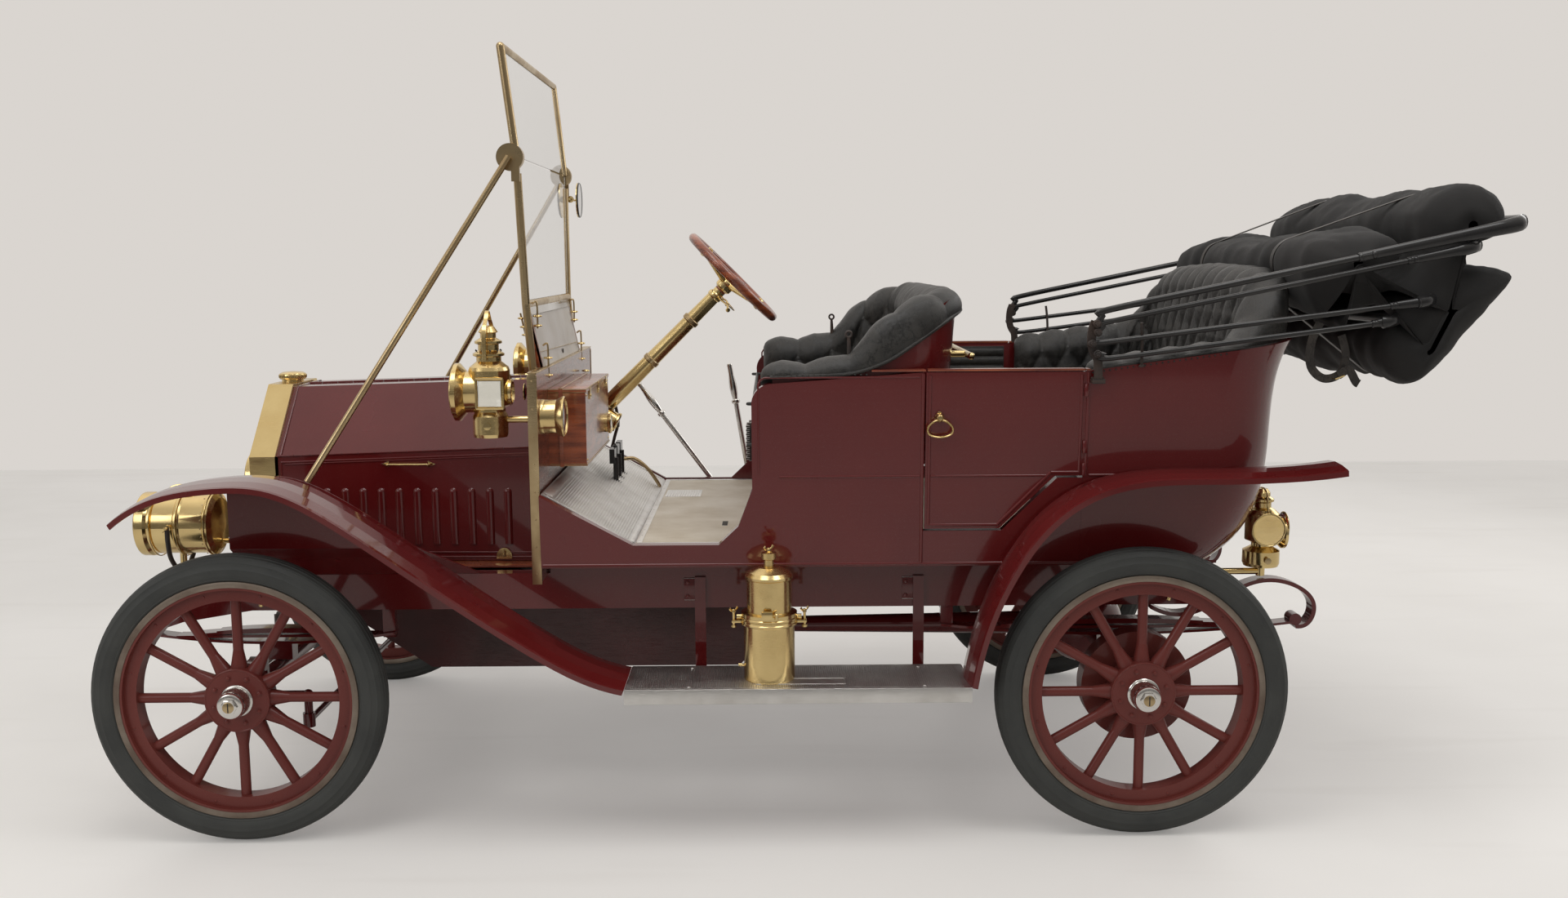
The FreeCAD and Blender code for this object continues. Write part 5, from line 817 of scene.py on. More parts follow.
# %% Side lamps
for word, side in SIDES:
    lamp = Bench()
    y = 470 * side
    lens(lamp, spot(529, y, 1150), (-1, 0, 0), 62, 10)
    lens(lamp, spot(716, y, 1150), (1, 0, 0), 21, 5, "ruby_glass", "mirror_silver")
    out = Vector((0, side, 0))
    for way in (1, -1):
        face = spot(632, y + 54 * way, 1150)
        frame_out = Vector((0, way, 0))
        corners = [(-36, -40), (36, -40), (36, 40), (-36, 40)]
        loop = [face + Vector((a * mm, 0, b * mm)) for a, b in corners]
        lamp.cut_out([point - frame_out * 8 * mm for point in loop], frame_out * 9 * mm, "brass", 1.4)
        lamp.cut_out([face + Vector((a * 0.84 * mm, 0, b * 0.84 * mm)) + frame_out * 0.6 * mm
                      for a, b in corners], frame_out * 1.4 * mm, "mirror_silver", 0.3)
        lamp.cut_out([face + Vector((a * 0.86 * mm, 0, b * 0.86 * mm)) + frame_out * 2.6 * mm
                      for a, b in corners], frame_out * 2.4 * mm, "lamp_glass", 0.9)
        for a, b in zip(loop, loop[1:] + loop[:1]):
            lamp.bent([a + frame_out * 2 * mm, b + frame_out * 2 * mm], ring_of(3.4, 8), "brass", up=frame_out)
    half_arch = [(58, 1236), (60, 1288), (52, 1322), (24, 1346), (12, 1360)]
    arch = [spot(622, y + w, z) for w, z in half_arch + [(0, 1367)] + [(-w, z) for w, z in half_arch[::-1]]]
    lamp.bent(curve_through(arch, 4), [(-5, -1.3), (5, -1.3), (5.6, 0), (5, 1.3), (-5, 1.3), (-5.6, 0)], "brass",
              up=(0, side, 0.2))
    for way in (1, -1):
        lamp.rivet(spot(622, y + 57 * way, 1243), (0, way, 0), 4, "aged_brass")
    lamp.turned([(6, 0), (6, 7), (10, 8), (10, 13), (0, 14)], spot(622, y + 40 * side, 1062), out, "brass", 18)
    # Ten near-black discs stand for the lamp's vent holes: painted shade for their dark insides.
    for turn in angles(10):
        lamp.turned([(2.6, -1), (2.6, 0.8), (0, 0.8)],
                    spot(622 + 34.5 * math.cos(turn), y + 34.5 * math.sin(turn), 1262),
                    (math.cos(turn), math.sin(turn), 0), "painted_hole_shade", 8)
    lamp.done(f"sidelamp_fittings_{word}")

# %% Tail lamp
lamp = Bench()
lens(lamp, spot(2799, -420, 758), (1, 0, 0), 38, 9, "ruby_glass")
lens(lamp, spot(2738, -476, 758), (0, -1, 0), 43, 6, "lamp_glass", "brass")
lamp.bent(curve_through([spot(2738, -470, 800), spot(2732, -474, 838), spot(2738, -452, 858),
                         spot(2738, -420, 866), spot(2738, -388, 858), spot(2738, -370, 830)], 4),
          ring_of(2.6, 8), "brass")
lamp.turned([(6, 0), (6, 9), (9, 10), (9, 14), (0, 15)], spot(2738, -468, 672), (0, -1, 0), "aged_brass", 16)
lamp.done("tail_lamp_fittings")

# %% Gas generator
gas = Bench()
gas_x, gas_y = 1371, -690
for level, radius in ((581, 73.4), (568, 72.6)):
    gas.turned([(radius, -4), (radius + 1.8, -2), (radius + 1.8, 2),
                (radius, 4), (radius, -4)], spot(gas_x, gas_y, level), (0, 0, 1), "brass", 64)
for way in (1, -1):
    gas.slab(spot(gas_x + 72 * way, gas_y - 10, 566), spot(gas_x + 97 * way, gas_y + 10, 574), "brass", 2)
    gas.bent([spot(gas_x + 92 * way, gas_y, 560), spot(gas_x + 92 * way, gas_y, 600)], ring_of(3.4, 10), "brass",
             up=(0, 1, 0))
    wing_nut(gas, spot(gas_x + 92 * way, gas_y, 592), (0, 0, 1), 15)
    gas.turned([(6.5, 0), (6.5, 6), (0, 7)], spot(gas_x + 92 * way, gas_y, 553), (0, 0, 1), "brass", 6)
gas.slab(spot(1352, -770, 590), spot(1380, -757, 612), "brass", 2.5)
gas.turned([(5, 0), (5, 14), (3, 16), (0, 16)], spot(1390, -762, 590), (0, 0, 1), "brass", 14)
gas.bent([spot(1383, -762, 601), spot(1404, -762, 603)], ring_of(2.6, 8), "brass")
wing_nut(gas, spot(gas_x, gas_y, 752), (0, 0, 1), 17)
gas.bent(curve_through([spot(1316, -690, 456), spot(1308, -690, 452), spot(1298, -689, 452),
                        spot(1291, -688, 452)], 3), ring_of(4.2, 10), "brass")
gas.done("generator_fittings")

# %% [markdown]
# ## Buttoned seat backs
# Each seat back is a horseshoe of horsehair under leather, drawn down by buttons into diamonds and rolled over the
# edge of the body, where a piping finishes it. It could be sculpted, but a trimmer works by a drawing: rows of
# buttons at a set pitch, with creases between them. So a fine sheet is laid along the horseshoe, and each point is
# lifted by how far it lies from the nearest crease.

# %% Reading a drawing and walking round the horseshoe
def read_off(table, value):
    """Read a drawn curve: straight between its points, eased over 24 mm."""
    total = 0.0
    for ease in (-24, -12, 0, 12, 24):
        here = min(max(value + ease, table[0][0]), table[-1][0])
        for (a, low), (b, high) in zip(table, table[1:]):
            if here <= b:
                total += low + (high - low) * (here - a) / (b - a)
                break
    return total / 5


def horseshoe(front, rear, half, corner, spacing=6.2):
    """Plan points of the padding's outer line, each with its inward direction and its distance along the line."""
    arm, turn, back = rear - corner - front, corner * math.pi / 2, (half - corner) * 2
    whole = arm * 2 + turn * 2 + back
    count, line = round(whole / spacing), []
    for i in range(count + 1):
        run = whole * i / count
        side, u = (-1, run) if run <= whole / 2 else (1, whole - run)
        if u < arm:
            x, y, inward = front + u, half, (0, -1)
        elif u < arm + turn:
            a = (u - arm) / corner
            x, y = rear - corner + corner * math.sin(a), half - corner + corner * math.cos(a)
            inward = (-math.sin(a), -math.cos(a))
        else:
            x, y, inward = rear, half - corner - (u - arm - turn), (-1, 0)
        line.append((x, y * side, inward[0], inward[1] * side, run))
    return line, whole


def pillow(run, depth, pitch, first, rise, rows):
    """0 in a crease, 1 on a crest: pleats down to the first buttons, diamonds between rows, pleats below."""
    a = run / pitch
    shift = min(max((depth - first) / (2 * rise), 0), (rows - 1) / 2)
    crease = min(abs(a + shift - round(a + shift)), abs(a - shift - round(a - shift)))
    return (min(crease * 2, 1)) ** 0.5


print("drawing helpers ready")


# %% A buttoned back
class ButtonedBack:
    """The rolled and buttoned leather of one seat, in millimetres along the car."""

    def __init__(self, front, rear, half, corner, foot, lean, lean_top, tops, edges, outer, wrap, pitch, first,
                 rise, rows, plump):
        self.line, self.whole = horseshoe(front, rear, half, corner)
        self.front, self.rear, self.corner, self.foot = front, rear, corner, foot
        self.lean, self.lean_top, self.tops, self.edges = lean, lean_top, tops, edges
        self.outer, self.wrap, self.inner = outer, wrap, 58
        self.pitch = self.whole / round(self.whole / pitch)
        self.first, self.rise, self.rows, self.plump = first, rise, rows, plump

    def place(self, here, n, level):
        x, y, a, b, run = here
        back = min(max((x - self.rear + self.corner) / self.corner, 0), 1)
        shift = self.lean * back * (level - self.foot) / (self.lean_top - self.foot)
        return spot(x + a * n + shift, y + b * n, level)

    def section(self, here):
        """Closed section: (n, level, depth below the top, share of the plumpness)."""
        x, y, a, b, run = here
        edge = self.edges(x)
        top = max(self.tops(x, abs(y)), edge + 26)
        start = edge - self.wrap
        crest = top - self.plump + 2
        mid, half = (self.outer + self.inner) / 2, (self.inner - self.outer) / 2
        tall = crest - start
        square = max(0.42, min(1.0, 60 / tall))
        rows = [(mid - half * math.cos(t) ** square, start + tall * math.sin(t), 0, 0.30 + 0.70 * math.sin(t))
                for t in arc(18, math.pi / 2)[:-1]]
        rows += [(mid + half * math.sin(t), crest - 66 * (1 - math.cos(t)), top - crest + 66 * (1 - math.cos(t)), 1)
                 for t in arc(14, math.pi / 2)[:-1]]
        low = crest - 66
        rows += [(self.inner, low - (low - self.foot - 8) * i / 52, top - low + (low - self.foot - 8) * i / 52,
                  min(1, (53 - i) / 8)) for i in range(53)]
        rows += [(self.inner - 8, self.foot, 0, 0), (3, self.foot, 0, 0)]
        rows += [(3, edge + 4, 0, 0), (self.outer + 12, edge + 4, 0, 0), (self.outer + 10, start, 0, 0)]
        return rows, top

    def make(self, name, node):
        leather, points = Bench(), []
        for here in self.line:
            rows, top = self.section(here)
            end = min(here[4], self.whole - here[4])
            nose = math.sqrt(max(0.0, 1 - max(0, 1 - end / 46) ** 2)) * 0.8 + 0.2
            ring = len(rows)
            for i, (n, level, depth, share) in enumerate(rows):
                before, after = rows[i - 1], rows[(i + 1) % ring]
                tangent = Vector((after[0] - before[0], after[1] - before[1]))
                out = Vector((-tangent.y, tangent.x)).normalized() if tangent.length > 1e-6 else Vector((0, 1))
                lift = self.plump * share * pillow(here[4], depth, self.pitch, self.first, self.rise, self.rows)
                if share:
                    wrinkle = noise.noise(Vector((here[4] * 0.045, level * 0.045, n * 0.03)))
                    lift += 1.6 * wrinkle * share
                n, level = n + out.x * lift, level + out.y * lift
                n = 12 + (n - 12) * nose
                level = self.foot + (level - self.foot) * (0.90 + 0.10 * nose)
                points.append(self.place(here, n, level))
        faces = ring_faces(len(self.line), ring)
        last = (len(self.line) - 1) * ring
        faces += [tuple(range(ring)), tuple(range(last, last + ring))[::-1]]
        leather.shell(points, faces, "black_leather")
        piece = leather.done(name, sharp=70)
        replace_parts(piece, node)
        return piece

    def at_button(self, run, depth):
        here = min(self.line, key=lambda place: abs(place[4] - run))
        rows, top = self.section(here)
        inside = rows[18:18 + 14 + 53]
        n, level = min(inside, key=lambda row: abs(row[2] - depth))[:2]
        return here, n, level

    def trim(self, name):
        """Covered buttons and the piping along the outer edge."""
        trim, count = Bench(), 0
        for row in range(self.rows):
            for k in range(1, round(self.whole / self.pitch)):
                run = (k + 0.5 * (row % 2)) * self.pitch
                if run > self.whole - 30:
                    continue
                here, n, level = self.at_button(run, self.first + self.rise * row)
                if level < self.foot + 60:
                    continue
                inward = Vector((here[2], here[3], 0.25 if row == 0 else 0)).normalized()
                place = self.place(here, n - 1, level)
                trim.turned([(8.5, -2), (9, 1.5), (7, 4.2), (3, 5.4), (0, 5.6)], place, inward, "black_leather", 12)
                count += 1
        path = [self.place(here, self.outer - 1, self.edges(here[0]) - self.wrap)
                for here in self.line[4:-4:3]]
        trim.bent(path, ring_of(5.6, 8), "black_leather")
        trim.done(name)
        print(name, "buttons", count)


print("buttoned back ready")

# %% [markdown]
# ### Two seats from one class
# The front back is a tub seat whose roll rises from the low arms to the back; its edge is the shell that the
# frame gives. The rear back stands on the body's edge and is taller, with narrower pleats. One class makes both,
# because only their drawings differ.

# %% Front seat back
front_tops = [(1308, 1234), (1435, 1237), (1500, 1242), (1562, 1252), (1600, 1270), (1640, 1322), (1675, 1357),
              (1731, 1393), (1799, 1417), (1862, 1426), (1904, 1428)]
front_edges = [(1300, 1209), (1383, 1209), (1593, 1217), (1674, 1244), (1754, 1315), (1824, 1375), (1884, 1402)]
front_back = ButtonedBack(front=1352, rear=1829.7, half=580.7, corner=169.7, foot=996, lean=34, lean_top=1505,
    tops=lambda x, y: read_off(front_tops, x), edges=lambda x: read_off(front_edges, x), outer=-39, wrap=12,
    pitch=118, first=70, rise=76, rows=3, plump=17)
front_back.make("front_back_leather", "front_back_pad")
front_back.trim("front_back_buttons")

# %% Rear seat back
rear_side_tops = [(2195, 1240), (2300, 1244), (2480, 1250), (2562, 1262), (2590, 1286), (2633, 1352), (2673, 1418),
                  (2695, 1452), (2720, 1460)]
rear_back_tops = [(0, 1480), (330, 1472), (420, 1458), (500, 1440)]


def rear_top(x, y):
    return read_off(rear_side_tops, x) if x < 2695 else read_off(rear_back_tops, y)


rear_back = ButtonedBack(
    front=2207, rear=2696.7, half=565.7, corner=146, foot=982, lean=34, lean_top=1552, tops=rear_top,
    edges=lambda x: 1210 + 75 * (x - 2195) / 560, outer=-54, wrap=-1, pitch=88, first=64, rise=70, rows=4, plump=14)
rear_back.make("rear_back_leather", "rear_back_pad")
rear_back.trim("rear_back_buttons")

# %% [markdown]
# ### Seat cushions
# A seat cushion is a sewn box of leather over springs: its top and sides swell between its edges, its corners draw
# in, and its top is buttoned in squares. Swelling is what a cloth simulation with air pressure does well, so the
# box is remeshed evenly and blown up for a few frames, with a limit on how far a point may move; the tufts are
# drawn afterwards, because a remesh would lose them.

# %% A sprung cushion
def cushion_blank(name, front, rear, half, corner, low, high):
    """The sewn box before it is filled, a little smaller than the finished cushion."""
    plan = []
    for cx, cy, start in ((rear - corner, half - corner, 0), (front + 24, half - 24, 90),
                          (front + 24, 24 - half, 180), (rear - corner, corner - half, 270)):
        radius = corner if start in (0, 270) else 24
        for step in range(9):
            a = math.radians(start + 90 * step / 8)
            plan.append((cx + radius * math.cos(a), cy + radius * math.sin(a)))
    blank = Bench()
    base = [spot(x, y, low) for x, y in plan]
    blank.cut_out(base, (0, 0, (high - low) * mm), "black_leather", 9)
    return blank.done(name, sharp=60)


def evaluated(piece):
    """The mesh that a piece has once its modifiers are applied."""
    scene_now = bpy.context.evaluated_depsgraph_get()
    return bpy.data.meshes.new_from_object(piece.evaluated_get(scene_now))


def swell(piece, voxel, cap, floor_level):
    """Remesh evenly, blow up as cloth for 20 frames, hold each point within cap, and keep it off the seat box."""
    remesh = piece.modifiers.new("even", "REMESH")
    remesh.mode, remesh.voxel_size = "VOXEL", voxel
    even = evaluated(piece)
    piece.modifiers.remove(remesh)
    piece.data = even
    before = [point.co.copy() for point in even.vertices]
    cloth = piece.modifiers.new("air", "CLOTH")
    cloth.settings.use_pressure = True
    cloth.settings.uniform_pressure_force = 4.0
    cloth.settings.effector_weights.gravity = 0
    cloth.settings.tension_stiffness = 25
    scene = bpy.context.scene
    for step in range(1, 21):
        scene.frame_set(step)
    blown = evaluated(piece)
    piece.modifiers.remove(cloth)
    scene.frame_set(1)
    for point, old in zip(blown.vertices, before):
        move = point.co - old
        if move.length > cap:
            move *= cap / move.length
        place = old + move
        point.co = (place.x, place.y, max(place.z, floor_level))
    piece.data = blown
    smooth = piece.modifiers.new("even_out", "SUBSURF")
    smooth.levels = 1
    fine = evaluated(piece)
    piece.modifiers.remove(smooth)
    piece.data = fine
    print(piece.name, len(fine.polygons), "faces after swelling")


def biscuit(piece, front, half, pitch_x, pitch_y, depth, top):
    """Square tufts on the top, deepest at the buttons, fading at the front edge."""
    for point in piece.data.vertices:
        x, y, z = ((point.co.x - axle_x) / mm, point.co.y / mm, point.co.z / mm)
        if z < top - 45:
            continue
        a, b = (x - front) / pitch_x, (y + half) / pitch_y
        crease = min(abs(a - round(a)), abs(b - round(b))) * 2
        cross = math.hypot((a - round(a)) * pitch_x, (b - round(b)) * pitch_y)
        drop = depth * (1 - min(crease * 1.6, 1) ** 0.5) + depth * 0.7 * math.exp(-(cross / 15) ** 2)
        ease = min(max((z - top + 45) / 30, 0), 1) * min(max((x - front) / 30, 0), 1)
        point.co.z -= drop * ease * mm
    piece.data.update()
    piece.data.polygons.foreach_set("use_smooth", [True] * len(piece.data.polygons))


print("cushion tools ready")

# %% Make both cushions
for name, node, front, rear, half, corner, low, high in (
        ("front_seat_cushion", "front_cushion", 1334, 1749, 498, 90, 997, 1122),
        ("rear_seat_cushion", "rear_cushion", 2228, 2616, 484, 70, 982, 1107)):
    cushion = cushion_blank(name, front, rear, half, corner, low, high)
    swell(cushion, 0.010, 0.014, (low - 1) * mm)
    columns = round(half * 2 / 118)
    biscuit(cushion, front, half, (rear - front) / 4, half * 2 / columns, 11, high)
    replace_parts(cushion, node)
    welts = Bench()
    for level in (low + 8, high - 6):
        loop = [spot(x, y, level) for x, y in ((front - 3, -half + 12), (front - 3, half - 12))]
        welts.bent(loop, ring_of(4.5, 8), "black_leather")
        for side in (LEFT, RIGHT):
            edge = [spot(front - 3, (half - 12) * side, level), spot(front + 9, (half + 2) * side, level),
                    spot(rear - corner, (half + 2) * side, level)]
            welts.bent(curve_through(edge, 8), ring_of(4.5, 8), "black_leather")
    for i in range(1, 4):
        for k in range(1, columns):
            place = spot(front + (rear - front) * i / 4, -half + half * 2 * k / columns, high - 15)
            welts.turned([(8, -2), (8.5, 1.5), (6, 4), (0, 5)], place, (0, 0, 1), "black_leather", 12)
    welts.done(name + "_welts")

# %% [markdown]
# ## The folded top
# The top's frame is four bent hoops, called bows: round iron sockets along each side that end in ash wood across
# the car, all turning on one bracket a side. Solid bars would look heavy, so each bow is bent here from a round
# section that widens into flat wood, and takes the place of the plain frame solid.

# %% Bows
pivot_station, pivot_level, bow_reach, bow_side = 2203, 1288, 1104, 652
bow_lines = [((0.010, 0.040), (0.035, 0.072), (1.0, 0.268), 0.60, 1.0),
             ((0.012, 0.020), (0.040, 0.045), (0.90, 0.215), 0.80, 0.8),
             ((0.0, -0.006), (0.030, -0.003), (0.80, 0.090), 0.86, 0.8),
             ((0.012, -0.030), (0.045, -0.040), (0.72, 0.045), 0.90, 0.8)]


def on_bow(share_along, share_up, y):
    return spot(pivot_station + bow_reach * share_along, y, pivot_level + bow_reach * share_up)


bows = Bench()
for eye, knee, tip, wood_from, size in bow_lines:
    for side in (LEFT, RIGHT):
        start, bend, end = (on_bow(*pair, bow_side * side) for pair in (eye, knee, tip))
        wood = bend.lerp(end, wood_from)
        bows.bent(curve_through([start, start.lerp(bend, 0.5) + Vector((0, 0, 0.003)), bend, bend.lerp(wood, 0.5),
                                 wood, wood.lerp(end, 0.12)], 5), ring_of(8.6 * size, 12), "black_lacquer")
        for share in (0.0, 0.08):
            place = wood.lerp(end, share)
            bows.turned([(10.5 * size, -5), (12 * size, -3), (12 * size, 3),
                         (10.5 * size, 5), (10.5 * size, -5)], place, end - wood, "black_lacquer", 14)
        corner = [wood, wood.lerp(end, 0.55), end - (end - wood).normalized() * 0.05,
                  end + Vector((-0.006, -side * 0.028, 0)), end + Vector((0, -side * 0.10, 0)),
                  end + Vector((0, -side * bow_side * mm, 0))]
        bows.bent(curve_through(corner, 6), [(a * 0.9, b * 1.35) for a, b in ring_of(14 * size, 14)],
                  "black_lacquer", swell=lambda t: 0.62 + 0.44 * min(1, t * 2.4))
        bows.turned([(9, -9), (10.5, -7), (10.5, 7), (9, 9), (0, 9.5)], start, (0, side, 0), "black_iron", 16)
        bows.nut(start + Vector((0, side * 9 * mm, 0)), (0, side, 0), 6.5, 5, "black_iron")
for side in (LEFT, RIGHT):
    y = (bow_side - 9) * side
    strap = [(2212, 1338), (2205, 1318), (2203, 1288), (2208, 1262), (2220, 1240), (2222, 1215), (2222, 1186)]
    bows.bent(curve_through([spot(s, y, z) for s, z in strap], 5),
              [(-3, -11), (3, -11), (3, 11), (-3, 11)], "black_iron", up=(1, 0, 0))
    bows.slab(spot(2206, min(626 * side, 650 * side), 1178), spot(2240, max(626 * side, 650 * side), 1190),
              "black_iron", 2)
    for station in (2212, 2234):
        bows.nut(spot(station, 632 * side, 1190), (0, 0, 1), 6, 4, "black_iron")
    prop = [spot(2330, 646 * side, 1334), spot(2334, 640 * side, 1290), spot(2336, 634 * side, 1222)]
    bows.bent(curve_through(prop, 4), ring_of(4, 8), "black_iron")
    bows.rivet(spot(2336, 634 * side, 1222), (0, 0, 1), 8, "black_iron")
top_frame = bows.done("top_bow_irons")
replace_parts(top_frame, "top_bows")

# %% [markdown]
# ### Folded cloth
# Folded, the top is one long sheet of rubbered cloth lying in loops between the bows, with the rear curtain
# hanging as a wedge below. A cloth simulation of a sheet packed so tightly would never settle in time, so its
# cross-section is drawn as one line that folds back on itself, drawn across the car, and then creased by noise
# that moves neighbouring layers together, so that they never pass through each other. Vector noise takes its seed
# from the clock unless it is given one, so it is given one here, and the cloth folds the same way on every run.

# %% The folded line across the bows
noise.seed_set(1910)
fold_line = [(2812, 1352), (2786, 1392), (2766, 1440), (2762, 1492), (2782, 1530), (2830, 1548), (2900, 1556),
             (2960, 1560), (3010, 1540), (3024, 1505), (2992, 1478), (2930, 1468), (2872, 1458), (2846, 1436),
             (2866, 1414), (2930, 1410), (3000, 1420), (3056, 1452), (3080, 1510), (3070, 1562), (3078, 1612),
             (3118, 1654), (3172, 1680), (3222, 1676), (3262, 1646), (3284, 1602), (3272, 1562), (3236, 1540),
             (3186, 1532), (3142, 1512), (3138, 1484), (3184, 1470), (3250, 1468), (3304, 1456), (3308, 1436),
             (3276, 1392), (3222, 1324), (3162, 1254), (3104, 1192), (3064, 1170), (3026, 1184), (2990, 1230),
             (2984, 1276), (3012, 1318), (3070, 1344), (3096, 1376), (3066, 1398), (2990, 1386), (2916, 1366),
             (2870, 1340), (2872, 1316)]
lobe_hearts = [Vector((2884, 1506)), Vector((3172, 1600)), Vector((3140, 1370)), Vector((3090, 1280))]
fold_path = [Vector((p.x, p.z)) for p in curve_through([(s, 0, z) for s, z in fold_line], 6)]
sheet_half, tie_lines = 640, (-330, 330)


def creased(place, y, share):
    """Where a point of the drawn fold lies after the cloth has been gathered, tied and has sagged."""
    end = max(0.0, abs(y) / sheet_half - 0.86) / 0.14
    heart = min(lobe_hearts, key=lambda lobe: (lobe - place).length)
    place = place + (heart - place) * 0.90 * end ** 3
    for tie in tie_lines:
        pull = math.exp(-((y - tie) / 34) ** 2)
        place = place + (Vector((3050, 1440)) - place) * 0.055 * pull
    at_noise = Vector((place.x / 250, y / 210, place.y / 250))
    wide, tight = noise.noise_vector(at_noise), noise.noise_vector(at_noise * 3.1 + Vector((7, 3, 1)))
    ridge = 1 - abs(noise.noise(at_noise * 5.3)) * 2
    station = place.x + wide.x * 15 + tight.x * 7
    sag = 9 * math.cos(math.pi * y / tie_lines[1]) + 16 * end * end
    level = place.y + wide.z * 17 + tight.z * 7 + ridge * 3.5 - sag
    run_out = 12 * noise.noise(Vector((share * 13, 5, y / 900))) * end
    return spot(station, y * (1 - 0.02 * end) + tight.y * 6 + (run_out if y > 0 else -run_out), level)


# %% Lay the sheet
across_count = 88
lines = [sheet_half * (2 * i / across_count - 1) for i in range(across_count + 1)]
sheet = Bench()
points = [creased(place, y, i / len(fold_path)) for i, place in enumerate(fold_path) for y in lines]
wide = across_count + 1
sheet.shell(points, [(r * wide + c, r * wide + c + 1, (r + 1) * wide + c + 1, (r + 1) * wide + c)
                     for r in range(len(fold_path) - 1) for c in range(across_count)], "black_cloth")
cloth = sheet.done("folded_top_cloth", sharp=80)
thick = cloth.modifiers.new("cloth_thickness", "SOLIDIFY")
thick.thickness, thick.offset = 0.0026, 0
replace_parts(cloth, "top_cloth")

# %% Straps round the bundle and the loops below
def tight_loop(y, slack=5):
    """The line that a strap takes round the bundle: the hull of the folds there, a little outside them."""
    places = [creased(place, y, i / len(fold_path)) for i, place in enumerate(fold_path)]
    places = sorted((round((p.x - axle_x) / mm, 1), round(p.z / mm, 1)) for p in places)
    hull = []
    for order in (places, places[::-1]):
        start = len(hull)
        for p in order:
            while len(hull) > start + 1 and ((hull[-1][0] - hull[-2][0]) * (p[1] - hull[-2][1])
                                             - (hull[-1][1] - hull[-2][1]) * (p[0] - hull[-2][0])) <= 0:
                hull.pop()
            hull.append(p)
        hull.pop()
    heart = (sum(p[0] for p in hull) / len(hull), sum(p[1] for p in hull) / len(hull))
    return [(s + slack * (s - heart[0]) / math.hypot(s - heart[0], z - heart[1]),
             z + slack * (z - heart[1]) / math.hypot(s - heart[0], z - heart[1])) for s, z in hull]


flat_strap = [(-11, -1.3), (11, -1.3), (11, 1.3), (-11, 1.3)]
straps = Bench()
for y in tie_lines:
    loop = tight_loop(y)
    straps.bent([spot(s, y, z) for s, z in loop], [(b, a) for a, b in flat_strap], "strap_leather", up=(0, 1, 0),
                closed=True)
    s, z = max(loop, key=lambda p: p[0] + p[1])
    straps.bent([spot(s - 12, y - 15, z + 13), spot(s - 12, y + 15, z + 13), spot(s + 14, y + 15, z - 9),
                 spot(s + 14, y - 15, z - 9)], ring_of(2.4, 8), "brass", closed=True, up=(1, 0, 0.3))
for side in (LEFT, RIGHT):
    loop = [(2806, 1330), (2784, 1276), (2786, 1216), (2822, 1184), (2866, 1196), (2880, 1244), (2866, 1296)]
    straps.bent(curve_through([spot(s, 600 * side + (s - 2800) * 0.12, z) for s, z in loop], 6), flat_strap,
                "strap_leather", up=(0, 1, 0))
    tail = [(2858, 1192), (2884, 1206), (2904, 1176), (2912, 1170)]
    straps.bent(curve_through([spot(s, 604 * side, z) for s, z in tail], 5), flat_strap, "strap_leather",
                up=(0, 1, 0))
    straps.bent([spot(2846, 590 * side, 1184), spot(2846, 618 * side, 1184), spot(2868, 618 * side, 1192),
                 spot(2868, 590 * side, 1192)], ring_of(2, 6), "brass", closed=True)
straps.done("top_straps")

# %% [markdown]
# ## Windscreen, dash and instruments
# Below the glass the windscreen has a white board held by hooks with small round brass nuts, and a silver rail.
# The dash has a brass strip round its edge; the coil box, a mahogany case for the ignition coils, has a lid and a
# strap; the drum beside it has a bezel and glass. They are cut, bent and turned parts, so the bench makes them.

# %% Board rail and hook nuts
board_points = [point.co for point in nodes["screen_board"].data.vertices]
board_low = max(p.x for p in board_points if p.z < 1.212)
board_high = max(p.x for p in board_points if p.z > 1.36)


def behind_board(level, back=0.0):
    """Station of the board's rear face at a level, in millimetres."""
    share = (level - 1205) / 166
    return ((board_low + (board_high - board_low) * share) - axle_x) / mm + back


screen = Bench()
rail = [spot(behind_board(1352, 1), -372, 1352), spot(behind_board(1384, 1), -372, 1384),
        spot(behind_board(1384, 1), 372, 1384), spot(behind_board(1352, 1), 372, 1352)]
screen.cut_out(rail, (2.5 * mm, 0, 0), "nickel", 1)
for y in (-368, 368):
    edge = [spot(behind_board(z, 1.5), y + w, z) for z, w in ((1208, -6), (1352, -6), (1352, 6), (1208, 6))]
    screen.cut_out(edge, (-18 * mm, 0, 0), "mahogany", 1)
crease = [spot(behind_board(1250 - 14 * (y + 360) / 720, 1.2), y, 1250 - 14 * (y + 360) / 720)
          for y in (-360, -120, 120, 360)]
screen.bent(crease, ring_of(1.1, 6), "aged_brass")
for y, levels in ((-352, (1348, 1322)), (-340, (1232, 1184)), (352, (1334, 1308)), (344, (1232, 1182)),
                  (300, (1146, 1146))):
    station = behind_board(levels[0], 15)
    if levels[0] != levels[1]:
        screen.bent(curve_through([spot(station - 14, y, levels[0] + 34), spot(station - 4, y, levels[0] + 40),
                                   spot(station, y, levels[0] + 28), spot(station, y, levels[1] - 8)], 4),
                    ring_of(2.6, 8), "aged_brass", up=(0, 1, 0))
    for level in levels:
        screen.turned([(4, -4), (12, -2.2), (13, 0), (12, 2.2), (4, 4),
                       (0, 4.4)], spot(station, y, level), (0, 0, 1), "brass", 18)
for y in (-340, 340):
    for level in (1342, 1318, 1296):
        screen.turned([(4, -3.4), (10, -2), (11, 0), (10, 2), (4, 3.4),
                       (0, 3.8)], spot(behind_board(level, -32), y, level), (0, 0, 1), "brass", 16)
    screen.bent([spot(behind_board(1356, -32), y, 1356), spot(behind_board(1286, -32), y, 1286)],
                ring_of(2.6, 8), "aged_brass")
